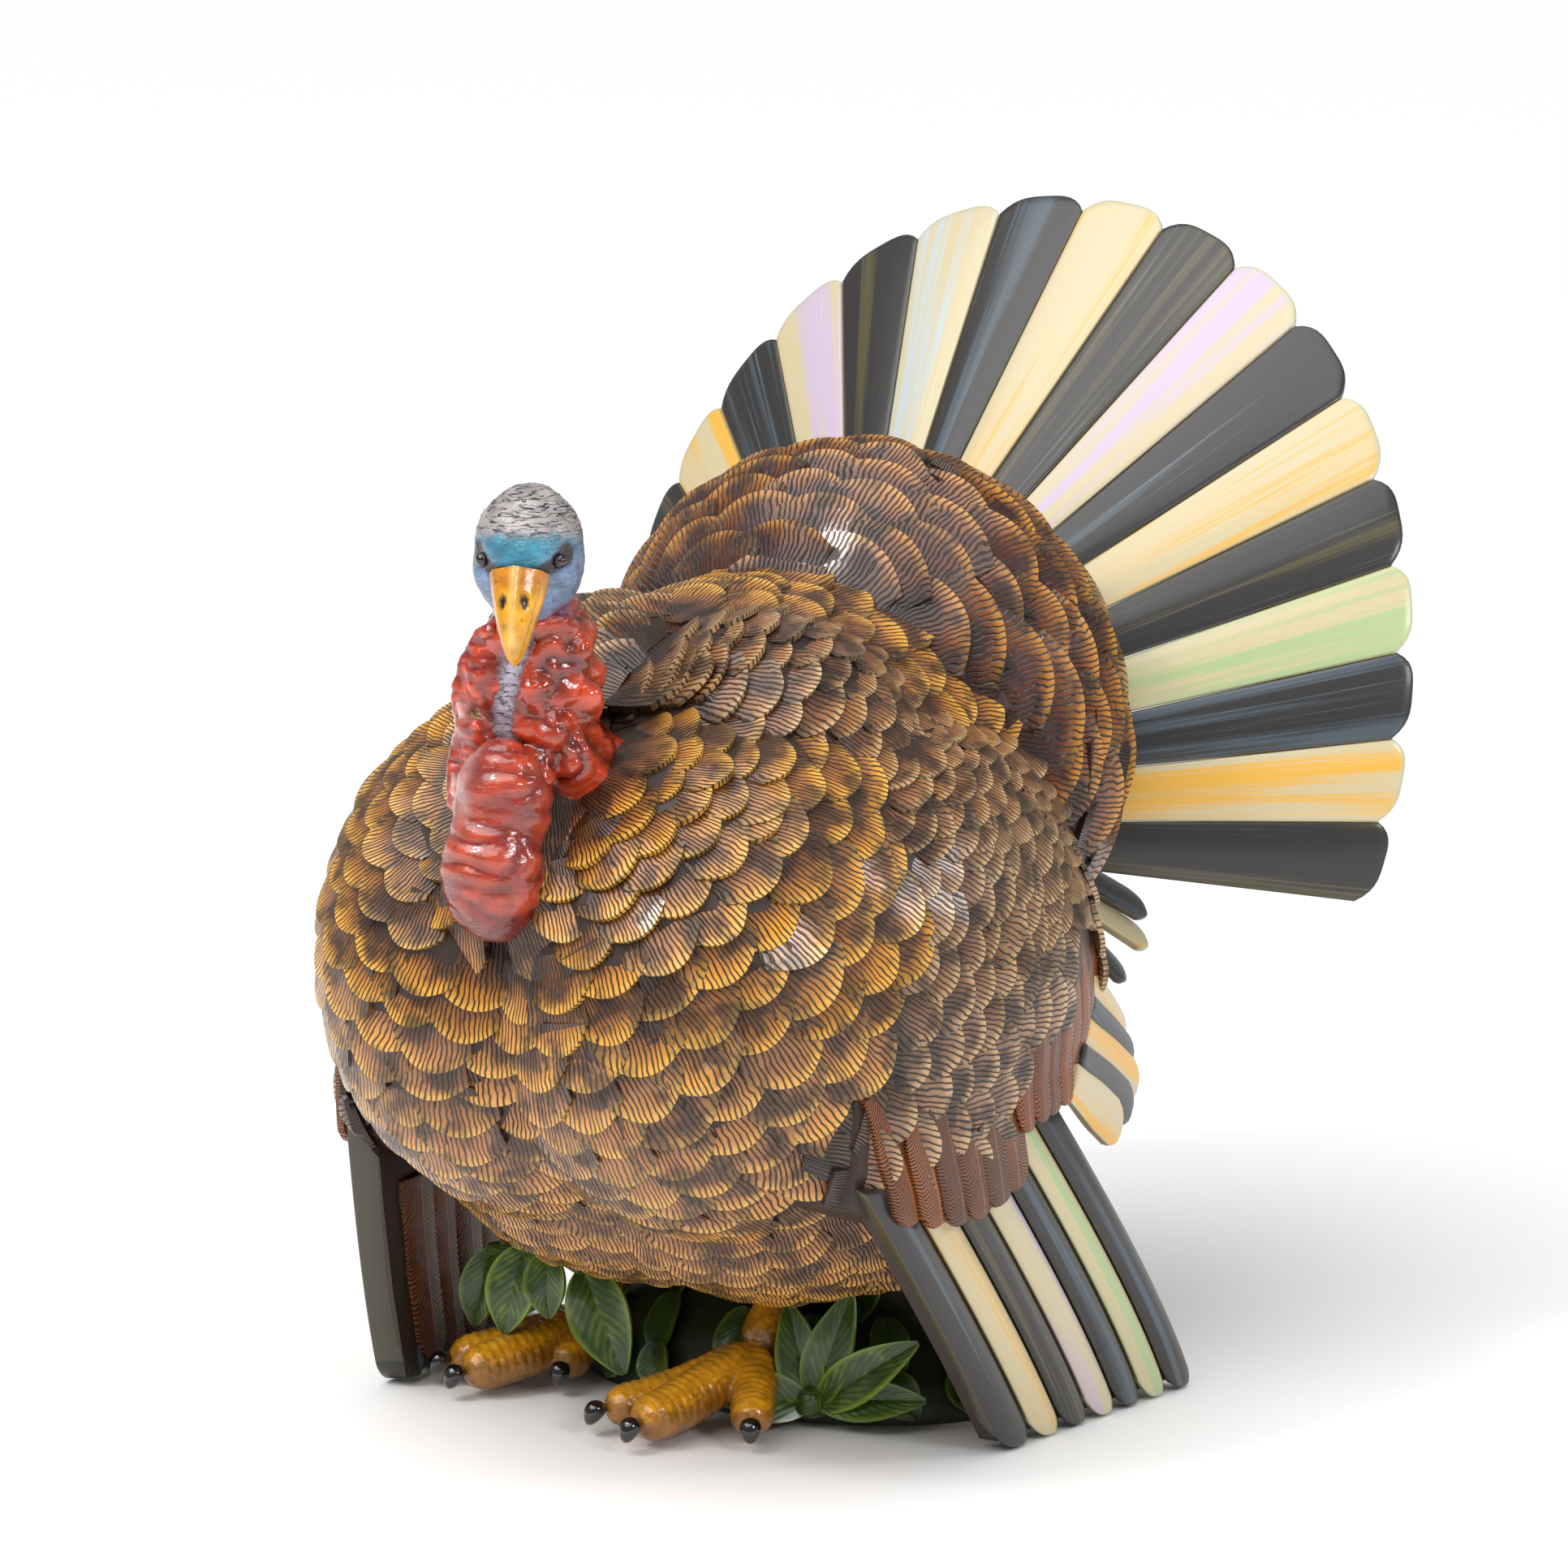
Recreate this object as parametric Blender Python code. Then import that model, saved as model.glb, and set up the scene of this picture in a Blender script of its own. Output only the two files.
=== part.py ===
"""Strutting turkey display figure, built as separate named sub-parts.

The script works in millimetres inside its functions and hands Blender metres.
The bird faces -Y, its left side is +X, +Z is up, and the frame's origin is a point
of the flat underside of the base, midway between the wings.  Neighbouring pieces are
cut from one another with forms grown by CLEAR, so that no two solids overlap.
"""
import math

import bmesh
import bpy
from mathutils import Matrix, Vector

MM = 0.001
CLEAR = 0.3            # gap left between two pieces that touch, mm
WALL = 7.0             # wall of the hollow cast body, mm
MERGE = 0.000004       # points nearer than this are joined after a cut, m
SLOT_CLEAR = 0.5       # gap all round the tail's tenon, mm

# Body forms: centre and radii of the ellipsoids each piece is made from, mm.
BREAST = [((35, -58, 178), (83, 104, 97)), ((-35, -58, 178), (83, 104, 97))]
BELLY = [((27, -14, 122), (91, 90, 74)), ((-27, -14, 122), (91, 90, 74))]
TRUNK = [((0, 8, 212), (94, 110, 92)), ((0, 66, 168), (70, 74, 56))]
MANTLE = [((0, 82, 240), (106, 72, 106))]
SHOULDER = [((30, -38, 244), (57, 61, 57)), ((70, -24, 212), (50, 70, 46))]
COVERTS = [((66, -14, 168), (63, 116, 98)), ((74, -26, 128), (51, 104, 60))]
# Side view outline of the wing: y and z round its edge, mm.
WING_OUTLINE = [(-98, 320), (-98, 106), (-88, 100), (-70, 93), (-46, 92), (-22, 98),
                (-13, 124), (28, 120), (76, 124), (84, 142), (68, 190), (50, 232), (44, 320)]
NECK = [(0, -130, 322, 15), (1, -132, 306, 19), (1, -132, 286, 22), (0, -129, 266, 21),
        (0, -112, 244, 23)]
HEAD_CENTRE = (1, -137, 330)
HEAD_RADII = (19, 23, 25.5)
HEAD_TURN = 24.0       # degrees the head looks to the bird's left
BEAK_ROOT = (0, -17, -4)
BEAK_TIP = (0, -31, -34)
EYE_PLACE = (14.4, -14.8, 1.5)
EYE_RADIUS = 3.4
WATTLE = [((0, -160, 222), (20.5, 17, 25)), ((1, -155, 246), (19, 17, 24))]
FOLD = [((-12, -143, 290), (9, 10, 15)), ((-16, -147, 274), (9, 10, 14)),
        ((-13, -153, 257), (10, 10, 12))]

# Tail fan: a ruled cone from a point, through the hub's oval rim, to the feather tips.
TAIL_COUNT = 21
TAIL_STEP = 10.47      # degrees between neighbouring tips
TAIL_TURN = -3.6       # the whole fan leans a little to one side, degrees
TAIL_TILT = 11.5       # the fan leans back, degrees
TAIL_POINT = (0, 84, 229)
RIM_CENTRE = (0, 118, 228.5)
RIM_RADII = (66.0, 89.0)
RIM_SPREAD = 1.1       # the roots stand further round the rim than the tips do
TIP_CENTRE = (0, 197, 222.5)
TIP_RADIUS = 189.7
TIP_EGG = (0.056, 0.06)        # how far the tip line departs from a circle
TIP_CUP = 9.8          # top and bottom of the fan stand further back than its sides, mm
TAIL_THICK = 5.0
HUB_BACK = 12.0        # how far the hub's dome bulges behind its rim, mm
LIFT_ELEVATION = 35.0  # the fan pulls out back and up at this angle, degrees
TENON_TOP = (0, 104, 224)
TENON_LENGTH = 52.0
TENON_SIZE = (30.0, 16.0)

# Flight feathers: root and ground point of the front and rear ones, y and z, mm.
FLIGHT_COUNT = 7
FLIGHT_SPLIT = (0.0, 0.17, 0.32, 0.46, 0.6, 0.73, 0.86, 1.0)
FLIGHT_ROOT = ((-100, 112), (28, 118))
FLIGHT_FOOT = ((-17, 0.5), (102, 0.5))
FLIGHT_X = ((115.0, 120.0), (123.0, 138.0))    # outer faces: roots, then ground
FLIGHT_THICK = 5.0
BACKING_THICK = 7.0
WING_SHIFT = {1: (0.0, 0.0), -1: (8.0, -45.0)}     # the right wing's tips rest further forward

BASE = ((5, 34, 0), (92, 60, 58))
LEAF_THICK = 3.0
# Each spray: the stalk's joints (x, y, z, radius), then its leaves as stalk end,
# tip and half-width.
LEFT_SPRAY = ([(46, -27, 6, 4), (47, -28, 11, 4.5), (48, -26, 16, 3.5)],
              [((46, -27, 9), (12, -44, 16), 9.0), ((47, -26, 9), (34, -22, 45), 8.5),
               ((48, -26, 9), (58, -17, 51), 9.0), ((49, -26, 9), (86, -17, 36), 8.5),
               ((49, -26, 11), (88, -14, 14), 7.5)])
RIGHT_SPRAY = ([(-92, -33, 50, 2.5), (-72, -37, 55, 3), (-56, -40, 55, 3), (-42, -41, 50, 2.5)],
               [((-43, -41, 51), (-22, -46, 15), 11.5), ((-71, -38, 55), (-77, -44, 22), 10.0),
                ((-88, -34, 51), (-95, -38, 21), 8.0), ((-60, -40, 55), (-58, -42, 30), 8.0)])

# Feet: joints of each toe and of the shank as (x, y, z, radius), mm.
LEFT_TOES = [[(22, -24, 24, 9), (4, -50, 13, 9.5), (-13, -72, 9, 8.5)],
             [(22, -24, 24, 9), (14, -56, 14, 10), (9, -84, 9.5, 9)],
             [(22, -24, 24, 9), (33, -44, 13, 9), (42, -60, 9, 8)]]
LEFT_SHANK = [(22, -24, 24, 10), (24, -10, 46, 8.5), (26, -2, 64, 8.5)]
RIGHT_TOES = [[(-62, -8, 22, 9), (-80, -28, 14, 9.5), (-99, -48, 9.5, 8.5)],
              [(-62, -8, 22, 9), (-72, -36, 14, 10), (-84, -60, 9.5, 9)],
              [(-62, -8, 22, 9), (-60, -22, 13, 9), (-57, -34, 9.5, 8)]]
RIGHT_SHANK = [(-62, -8, 22, 10), (-58, 6, 44, 8.5), (-54, 14, 64, 8.5)]

# Undertail feathers on each side: root, tip and half-width, mm.
UNDERTAIL = [((61, 126, 189), (75, 172, 163), 8.5), ((65, 120, 181), (79, 166, 152), 8.5),
             ((70, 112, 173), (83, 142, 143), 8.5)]
UNDERTAIL_DROP = 11.0  # the right-hand ones hang lower, under the fan's lower side
TERTIAL = [(48, 150), (82, 132), (90, 104), (76, 96), (34, 98), (18, 112), (22, 136)]

COLOURS = {
    "brown": ((0.16, 0.075, 0.03), 0.35, "varnished brown feather paint"),
    "tan": ((0.36, 0.19, 0.06), 0.35, "varnished tan feather paint"),
    "black": ((0.02, 0.019, 0.02), 0.3, "gloss black stripe paint"),
    "cream": ((0.78, 0.68, 0.46), 0.3, "gloss cream stripe paint"),
    "red": ((0.5, 0.05, 0.025), 0.25, "gloss red paint of the bare neck"),
    "blue": ((0.2, 0.36, 0.55), 0.35, "blue paint of the head"),
    "ochre": ((0.7, 0.34, 0.02), 0.35, "ochre paint of beak and feet"),
    "eye": ((0.01, 0.01, 0.01), 0.1, "gloss black eye"),
    "leaf": ((0.05, 0.1, 0.01), 0.35, "green leaf paint"),
    "moss": ((0.03, 0.04, 0.012), 0.5, "dark green-brown base paint"),
}


# ---------------------------------------------------------------- small helpers
def material(key):
    """Return the Principled material named key, made on first use."""
    if key in bpy.data.materials:
        return bpy.data.materials[key]
    colour, roughness, _ = COLOURS[key]
    mat = bpy.data.materials.new(key)
    mat.use_nodes = True
    shader = mat.node_tree.nodes["Principled BSDF"]
    shader.inputs["Base Color"].default_value = (*colour, 1.0)
    shader.inputs["Roughness"].default_value = roughness
    shader.inputs["Metallic"].default_value = 0.0
    mat.diffuse_color = (*colour, 1.0)
    return mat


def add(name, points, faces, key=None):
    """Make an object from points in mm, with its faces turned outward."""
    mesh = bpy.data.meshes.new(name)
    mesh.from_pydata([Vector(p) * MM for p in points], [], faces)
    bm = bmesh.new()
    bm.from_mesh(mesh)
    bmesh.ops.triangulate(bm, faces=bm.faces)
    bmesh.ops.recalc_face_normals(bm, faces=bm.faces)
    bm.to_mesh(mesh)
    bm.free()
    obj = bpy.data.objects.new(name, mesh)
    bpy.context.scene.collection.objects.link(obj)
    if key:
        mesh.materials.append(material(key))
    return obj


def drop(obj):
    """Remove a helper object and its mesh."""
    mesh = obj.data
    bpy.data.objects.remove(obj)
    bpy.data.meshes.remove(mesh)


def combine(obj, others, how, keep=False):
    """Union others with obj, or cut them from it, with the exact solver."""
    for other in others:
        mod = obj.modifiers.new(how, "BOOLEAN")
        mod.operation = how
        mod.solver = "EXACT"
        mod.object = other
        graph = bpy.context.evaluated_depsgraph_get()
        mesh = bpy.data.meshes.new_from_object(obj.evaluated_get(graph))
        obj.modifiers.clear()
        old = obj.data
        obj.data = mesh
        bpy.data.meshes.remove(old)
        if not keep:
            drop(other)
    return obj


def finish(obj, name, key):
    """Name a piece, keep its largest body, tidy its mesh and give it its paint."""
    bm = bmesh.new()
    bm.from_mesh(obj.data)
    bmesh.ops.remove_doubles(bm, verts=bm.verts, dist=MERGE)
    bmesh.ops.dissolve_degenerate(bm, edges=bm.edges, dist=MERGE)
    shells, seen = [], set()
    for start in bm.faces:
        if start in seen:
            continue
        group, todo = [], [start]
        seen.add(start)
        while todo:
            face = todo.pop()
            group.append(face)
            for edge in face.edges:
                for near in edge.link_faces:
                    if near not in seen:
                        seen.add(near)
                        todo.append(near)
        shells.append(group)
    shells.sort(key=lambda group: sum(f.calc_area() for f in group))
    for group in shells[:-1]:
        bmesh.ops.delete(bm, geom=group, context="FACES")
    loose = [v for v in bm.verts if not v.link_faces]
    bmesh.ops.delete(bm, geom=loose, context="VERTS")
    bmesh.ops.recalc_face_normals(bm, faces=bm.faces)
    bm.to_mesh(obj.data)
    bm.free()
    obj.name = obj.data.name = name
    obj.data.materials.clear()
    obj.data.materials.append(material(key))
    return obj


def mirrored(point, side):
    return (point[0] * side, *point[1:])


# ---------------------------------------------------------------- basic solids
def ellipsoid(centre, radii, grow=0.0, around=32, up=16, half=False):
    """A closed ellipsoid, poles on Z, its radii grown by grow; or its flat upper half."""
    cx, cy, cz = centre
    rx, ry, rz = (r + grow for r in radii)
    points, faces = [(cx, cy, cz + rz)], []
    rows = up // 2 if half else up - 1
    for i in range(1, rows + 1):
        lat = math.pi * i / up
        for j in range(around):
            lon = math.tau * j / around
            points.append((cx + rx * math.sin(lat) * math.cos(lon),
                           cy + ry * math.sin(lat) * math.sin(lon), cz + rz * math.cos(lat)))
    low = 1 + (rows - 1) * around
    for j in range(around):
        k = (j + 1) % around
        faces.append((0, 1 + j, 1 + k))
        for i in range(rows - 1):
            a, b = 1 + i * around, 1 + (i + 1) * around
            faces.append((a + j, b + j, b + k, a + k))
    points.append((cx, cy, cz if half else cz - rz))
    faces += [(low + j, len(points) - 1, low + (j + 1) % around) for j in range(around)]
    return add("form", points, faces)


def form(parts, grow=0.0, side=1, around=32, up=16):
    """The union of several ellipsoids."""
    first, *rest = [ellipsoid(mirrored(c, side), r, grow, around, up) for c, r in parts]
    return combine(first, rest, "UNION")


def tube(joints, grow=0.0, side=1, around=16):
    """A closed round tube through (x, y, z, radius) joints, with domed ends."""
    path = [Vector(mirrored(j[:3], side)) for j in joints]
    radii = [j[3] + grow for j in joints]
    rings = []
    for i, here in enumerate(path):
        along = (path[min(i + 1, len(path) - 1)] - path[max(i - 1, 0)]).normalized()
        rings.append((here, along, radii[i]))
    ends = []
    for sign, (here, along, radius) in ((-1, rings[0]), (1, rings[-1])):
        ends.append([(here + along * sign * radius * math.sin(a), along, radius * math.cos(a))
                     for a in (math.radians(35), math.radians(65))])
    rings = ends[0][::-1] + rings + ends[1]
    first = rings[0][0] - rings[0][1] * rings[0][2] * 0.25
    last = rings[-1][0] + rings[-1][1] * rings[-1][2] * 0.25
    points, faces = [first], []
    across = Vector((1, 0, 0))
    for centre, along, radius in rings:
        u = (across - along * across.dot(along)).normalized()
        v = along.cross(u)
        for j in range(around):
            turn = math.tau * j / around
            points.append(centre + (u * math.cos(turn) + v * math.sin(turn)) * radius)
    points.append(last)
    count = len(rings)
    for j in range(around):
        k = (j + 1) % around
        faces.append((0, 1 + j, 1 + k))
        for i in range(count - 1):
            a, b = 1 + i * around, 1 + (i + 1) * around
            faces.append((a + j, b + j, b + k, a + k))
        faces.append((1 + (count - 1) * around + j, len(points) - 1,
                      1 + (count - 1) * around + k))
    return add("tube", points, faces)


def loft(sections):
    """A closed solid through matching closed sections, capped at both ends."""
    n, last = len(sections[0]), len(sections) - 1
    faces = [tuple(range(n)), tuple(range((last + 1) * n - 1, last * n - 1, -1))]
    for s in range(last):
        faces += [(s * n + i, s * n + n + i, s * n + n + (i + 1) % n, s * n + (i + 1) % n)
                  for i in range(n)]
    return add("loft", [p for section in sections for p in section], faces)


def block(centre, axes, size):
    """A box with its three edge directions and full sizes given."""
    x, y, z = (Vector(a) * s / 2 for a, s in zip(axes, size))
    c = Vector(centre)
    low = [c - z + x * i + y * j for i, j in ((-1, -1), (1, -1), (1, 1), (-1, 1))]
    return loft([low, [p + z * 2 for p in low]])


def blade(root, tip, half_width, facing, thick, shape=(0.1, 0.6, 0.95, 1.0, 0.8, 0.5, 0.1),
          bow=0.0):
    """A feather or leaf: an outline that swells by shape and ends in a point or arc."""
    a, b = Vector(root), Vector(tip)
    along = (b - a).normalized()
    face = Vector(facing)
    face = (face - along * face.dot(along)).normalized()
    across = along.cross(face)
    sections = []
    for i, wide in enumerate(shape):
        t = i / (len(shape) - 1)
        spot = a.lerp(b, t) + face * bow * math.sin(math.pi * t)
        side, deep = across * max(wide, 0.12) * half_width, face * thick / 2
        sections.append([spot - side + deep, spot + side + deep, spot + side - deep,
                         spot - side - deep])
    return loft(sections)


# ---------------------------------------------------------------- the body forms
def body_form(grow=0.0):
    """The cast bird's body without wings, grown or shrunk evenly."""
    around = 32 if grow >= 0 else 24
    return form(BREAST + BELLY + TRUNK, grow, around=around, up=around // 2)


def fan_point(centre, sideways, upward):
    """A point in the fan's tilted plane, measured from centre."""
    tilt = math.radians(TAIL_TILT)
    return Vector(centre) + Vector((sideways, upward * math.sin(tilt),
                                    upward * math.cos(tilt)))


def fan_axis():
    """Unit normal of the fan's plane, pointing to the back."""
    tilt = math.radians(TAIL_TILT)
    return Vector((0, math.cos(tilt), -math.sin(tilt)))


def rim_point(turn, gap=0.0):
    """A point on the hub's oval rim, 0 degrees at the top."""
    a = math.radians(turn)
    return fan_point(RIM_CENTRE, (RIM_RADII[0] + gap) * math.sin(a),
                     (RIM_RADII[1] + gap) * math.cos(a))


def tip_point(turn, reach=1.0):
    """A point on the line of the feather tips, 0 degrees at the top."""
    a = math.radians(turn)
    radius = TIP_RADIUS * reach * (1 + TIP_EGG[0] * math.cos(a) + TIP_EGG[1] * math.cos(2 * a))
    spot = fan_point(TIP_CENTRE, radius * math.sin(a), radius * math.cos(a))
    return spot + Vector((0, TIP_CUP * math.cos(2 * a), 0))


def fan_turns():
    """Tip and rim angles of the lines between feathers, then on round the open gap."""
    half = TAIL_COUNT * TAIL_STEP / 2
    tips = [TAIL_TURN - half + TAIL_STEP * i for i in range(TAIL_COUNT + 1)]
    turns = [(a, a * RIM_SPREAD) for a in tips]
    (first_tip, first_rim), (last_tip, last_rim) = turns[0], turns[-1]
    steps = 10
    for i in range(1, steps):
        turns.append((last_tip + (first_tip + 360 - last_tip) * i / steps,
                      last_rim + (first_rim + 360 - last_rim) * i / steps))
    return turns


def fan_room(shift, reach=1.0):
    """The space behind the fan's front face, moved forward by shift."""
    turns = fan_turns()
    axis = fan_axis()
    n = len(turns)
    rings = [[rim_point(b) - axis * shift for _, b in turns],
             [tip_point(a, reach) - axis * shift for a, _ in turns]]
    rings.append([p + axis * 260 for p in rings[1]])
    points = [Vector(TAIL_POINT) - axis * shift, *rings[0], *rings[1], *rings[2]]
    faces = []
    for j in range(n):
        k = (j + 1) % n
        faces += [(0, 1 + j, 1 + k), (1 + j, 1 + n + j, 1 + n + k, 1 + k),
                  (1 + n + j, 1 + 2 * n + j, 1 + 2 * n + k, 1 + n + k)]
    faces.append(tuple(1 + 2 * n + j for j in range(n)))
    return add("fan_room", points, faces)


def lift_direction():
    up = math.radians(LIFT_ELEVATION)
    return Vector((0, math.cos(up), math.sin(up)))


def tenon(grow=0.0, extra=0.0):
    """The tail's tenon: a square peg along the direction in which the fan lifts off."""
    along = lift_direction()
    across = Vector((1, 0, 0))
    centre = Vector(TENON_TOP) - along * (TENON_LENGTH / 2 - extra / 2)
    size = (TENON_SIZE[0] + 2 * grow, TENON_SIZE[1] + 2 * grow, TENON_LENGTH + 2 * grow + extra)
    return block(centre, (across, along.cross(across), along), size)


# ---------------------------------------------------------------- the pieces
def build_body():
    """Hollow cast body, open below, with the slot for the tail's tenon."""
    body = body_form()
    drain = tube([(10, 20, 20, 16), (10, 20, 90, 16)])
    combine(body, [body_form(-WALL), drain], "DIFFERENCE")
    room = fan_room(TAIL_THICK / 2 + CLEAR, 1.1)
    combine(body, [room, tenon(SLOT_CLEAR, 60)], "DIFFERENCE")
    finish(body, "body_shell", "tan")

    mantle = form(MANTLE)
    combine(mantle, [body_form(CLEAR), fan_room(TAIL_THICK / 2 + CLEAR, 1.1),
                     tenon(SLOT_CLEAR, 60)], "DIFFERENCE")
    finish(mantle, "mantle", "brown")


def build_neck_and_head():
    """Neck, head, beak, eyes and the red bulb and fold of skin."""
    centre = Vector(HEAD_CENTRE)
    turn = Matrix.Rotation(math.radians(HEAD_TURN), 3, "Z")

    def skull(grow=0.0):
        obj = ellipsoid((0, 0, 0), HEAD_RADII, grow, 24, 14)
        for v in obj.data.vertices:
            v.co = turn @ v.co + centre * MM
        return obj

    finish(skull(), "head", "blue")

    neck = tube(NECK, around=20)
    combine(neck, [body_form(CLEAR), skull(CLEAR)], "DIFFERENCE")
    finish(neck, "neck", "red")

    root, tip = Vector(BEAK_ROOT), Vector(BEAK_TIP)
    along = (tip - root).normalized()
    side = Vector((1, 0, 0))
    lift = side.cross(along)
    rings = []
    for t, wide, deep in ((0.0, 11.5, 9.0), (0.45, 9.4, 7.4), (0.8, 5.2, 5.2), (0.97, 1.8, 2.4)):
        spot = root.lerp(tip, t)
        rings.append([centre + turn @ (spot + side * wide * math.cos(a) + lift * deep * math.sin(a))
                      for a in (math.tau * j / 12 for j in range(12))])
    points = [centre + turn @ root] + [p for ring in rings for p in ring] + [centre + turn @ tip]
    faces = []
    for j in range(12):
        k = (j + 1) % 12
        faces.append((0, 1 + j, 1 + k))
        faces += [(1 + 12 * i + j, 13 + 12 * i + j, 13 + 12 * i + k, 1 + 12 * i + k)
                  for i in range(3)]
        faces.append((37 + j, 49, 37 + k))
    beak = add("beak", points, faces)
    combine(beak, [skull(CLEAR)], "DIFFERENCE")
    finish(beak, "beak", "ochre")

    for name, s in (("eye_left", 1), ("eye_right", -1)):
        spot = centre + turn @ Vector(mirrored(EYE_PLACE, s))
        eye = ellipsoid(spot, (EYE_RADIUS,) * 3, 0, 12, 8)
        combine(eye, [skull(0.05)], "DIFFERENCE")
        finish(eye, name, "eye")

    def neck_solid():
        return tube(NECK, CLEAR, around=20)

    wattle = form(WATTLE, 0, 1, 20, 12)
    combine(wattle, [body_form(CLEAR), neck_solid(), skull(CLEAR)], "DIFFERENCE")
    finish(wattle, "wattle", "red")

    fold = form(FOLD, 0, 1, 14, 10)
    combine(fold, [body_form(CLEAR), neck_solid(), skull(CLEAR),
                   form(WATTLE, CLEAR, 1, 20, 12)], "DIFFERENCE")
    finish(fold, "neck_fold", "red")


def flight_edge(i):
    """Root and ground points of the line in front of flight feather i, in y and z."""
    t = FLIGHT_SPLIT[i]
    return [tuple(a + (b - a) * t for a, b in zip(*ends)) for ends in (FLIGHT_ROOT, FLIGHT_FOOT)]


def flight_point(i, t, across, inset, side):
    """A point on flight feather i: t from root to ground, across from edge to edge."""
    (fy, fz), (gy, gz) = flight_edge(i)
    (hy, hz), (iy, iz) = flight_edge(i + 1)
    front = Vector((fy + (gy - fy) * t, fz + (gz - fz) * t))
    rear = Vector((hy + (iy - hy) * t, hz + (iz - hz) * t))
    spot = front.lerp(rear, across)
    along = (i + across) / FLIGHT_COUNT
    top, ground = [a + (b - a) * along for a, b in FLIGHT_X]
    x = top + (ground - top) * math.sin(t * math.pi / 2) - inset
    at_root, at_ground = WING_SHIFT[side]
    return (x * side, spot[0] + at_root + (at_ground - at_root) * t, spot[1])


def build_flight_feather(i, side):
    """One stripe of the wing: a flat feather with a rounded lower end."""
    sections = []
    for t, edge in ((0.0, 0.03), (0.35, 0.03), (0.65, 0.03), (0.88, 0.03), (0.955, 0.16),
                    (0.99, 0.36)):
        sections.append([flight_point(i, t, edge, 0.0, side),
                         flight_point(i, t, 1 - edge, 0.0, side),
                         flight_point(i, t, 1 - edge, FLIGHT_THICK, side),
                         flight_point(i, t, edge, FLIGHT_THICK, side)])
    return loft(sections)


def wing_skin(side, grow=0.0):
    """Shoulder and covert forms of one wing, trimmed to the wing's outline."""
    obj = form(SHOULDER + COVERTS, grow, side, 32, 18)
    mid = Vector((-20, 200))
    grown = [Vector(p) + (Vector(p) - mid).normalized() * grow for p in WING_OUTLINE]
    near, far = (CLEAR * side, 200 * side)
    trim = loft([[(x, y, z) for y, z in grown] for x in (near, far)])
    return combine(obj, [trim], "INTERSECT")


def build_wing(side):
    """One wing with its backing down to the ground, its stripes and tertials."""
    word = {1: "left", -1: "right"}[side]
    wing = wing_skin(side)
    inner = FLIGHT_THICK + CLEAR

    def backing(outer, deep, edges=(0.2, 0.8), top=0.0):
        """A curved plate under the stripes, between two depths below their faces."""
        sections = []
        for i in range(FLIGHT_COUNT):
            a = edges[0] + (edges[1] - edges[0]) * i / (FLIGHT_COUNT - 1)
            steps = (top, 0.35, 0.65, 0.97)
            rows = [(t, outer) for t in steps] + [(t, deep) for t in steps[::-1]]
            sections.append([flight_point(i, t, a, depth, side) for t, depth in rows])
        return loft(sections)

    combine(wing, [backing(inner, inner + BACKING_THICK)], "UNION")
    combine(wing, [body_form(CLEAR), form(MANTLE, CLEAR), tube(NECK, CLEAR, around=20),
                   fan_room(TAIL_THICK / 2 + CLEAR, 1.1)], "DIFFERENCE")
    for i in range(FLIGHT_COUNT):
        feather = build_flight_feather(i, side)
        combine(feather, [wing_skin(side, CLEAR), body_form(CLEAR)], "DIFFERENCE")
        finish(feather, f"flight_feather_{word}_{i + 1}", "black" if i % 2 == 0 else "cream")
    finish(wing, f"wing_{word}", "brown")

    front = [((121 - 0.1 * (y - 60)) * side, y, z) for y, z in TERTIAL]
    back = [((106 - 0.1 * (y - 60)) * side, y, z) for y, z in TERTIAL]
    tertial = loft([front, back])
    combine(tertial, [wing_skin(side, CLEAR), body_form(CLEAR)], "DIFFERENCE")
    room = backing(-30, inner + BACKING_THICK + CLEAR, (-0.15, 1.15), -0.2)
    combine(tertial, [room], "DIFFERENCE")
    finish(tertial, f"tertials_{word}", "cream")


def tail_sections(i):
    """Sections of one tail feather, from the hub's rim out to its rounded tip."""
    turns = fan_turns()
    half = fan_axis() * TAIL_THICK / 2
    sections = []
    for t, corner in ((0.0, 0.0), (0.55, 0.0), (0.93, 0.0), (0.98, 0.1), (1.0, 0.26)):
        gap = math.degrees(0.25 / (70 + 115 * t)) + corner * TAIL_STEP
        low, high = [rim_point(turns[j][1] + sign * gap, CLEAR).lerp(
            tip_point(turns[j][0] + sign * gap), t) for j, sign in ((i, 1), (i + 1, -1))]
        sections.append([low - half, high - half, high + half, low + half])
    return sections


def build_tail():
    """Hub with its tenon, and the ring of tail feathers round it."""
    turns = fan_turns()
    axis = fan_axis()
    n = len(turns)
    half = TAIL_THICK / 2
    rim = [rim_point(b, -CLEAR) for _, b in turns]
    dome = [rim_point(b).lerp(Vector(RIM_CENTRE), 0.4) + axis * (half + HUB_BACK * 0.7)
            for _, b in turns]
    rings = [[p - axis * half for p in rim], [p + axis * half for p in rim], dome]
    points = [Vector(TAIL_POINT) - axis * half, *rings[0], *rings[1], *rings[2],
              Vector(RIM_CENTRE) + axis * (half + HUB_BACK)]
    faces = []
    for j in range(n):
        k = (j + 1) % n
        faces += [(0, 1 + j, 1 + k), (1 + j, 1 + n + j, 1 + n + k, 1 + k),
                  (1 + n + j, 1 + 2 * n + j, 1 + 2 * n + k, 1 + n + k),
                  (1 + 2 * n + j, 3 * n + 1, 1 + 2 * n + k)]
    hub = add("hub", points, faces)
    combine(hub, [tenon()], "UNION")
    finish(hub, "tail_hub", "brown")

    for i in range(TAIL_COUNT):
        feather = loft(tail_sections(i))
        finish(feather, f"tail_feather_{i + 1:02d}", "black" if i % 2 == 0 else "cream")


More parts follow.
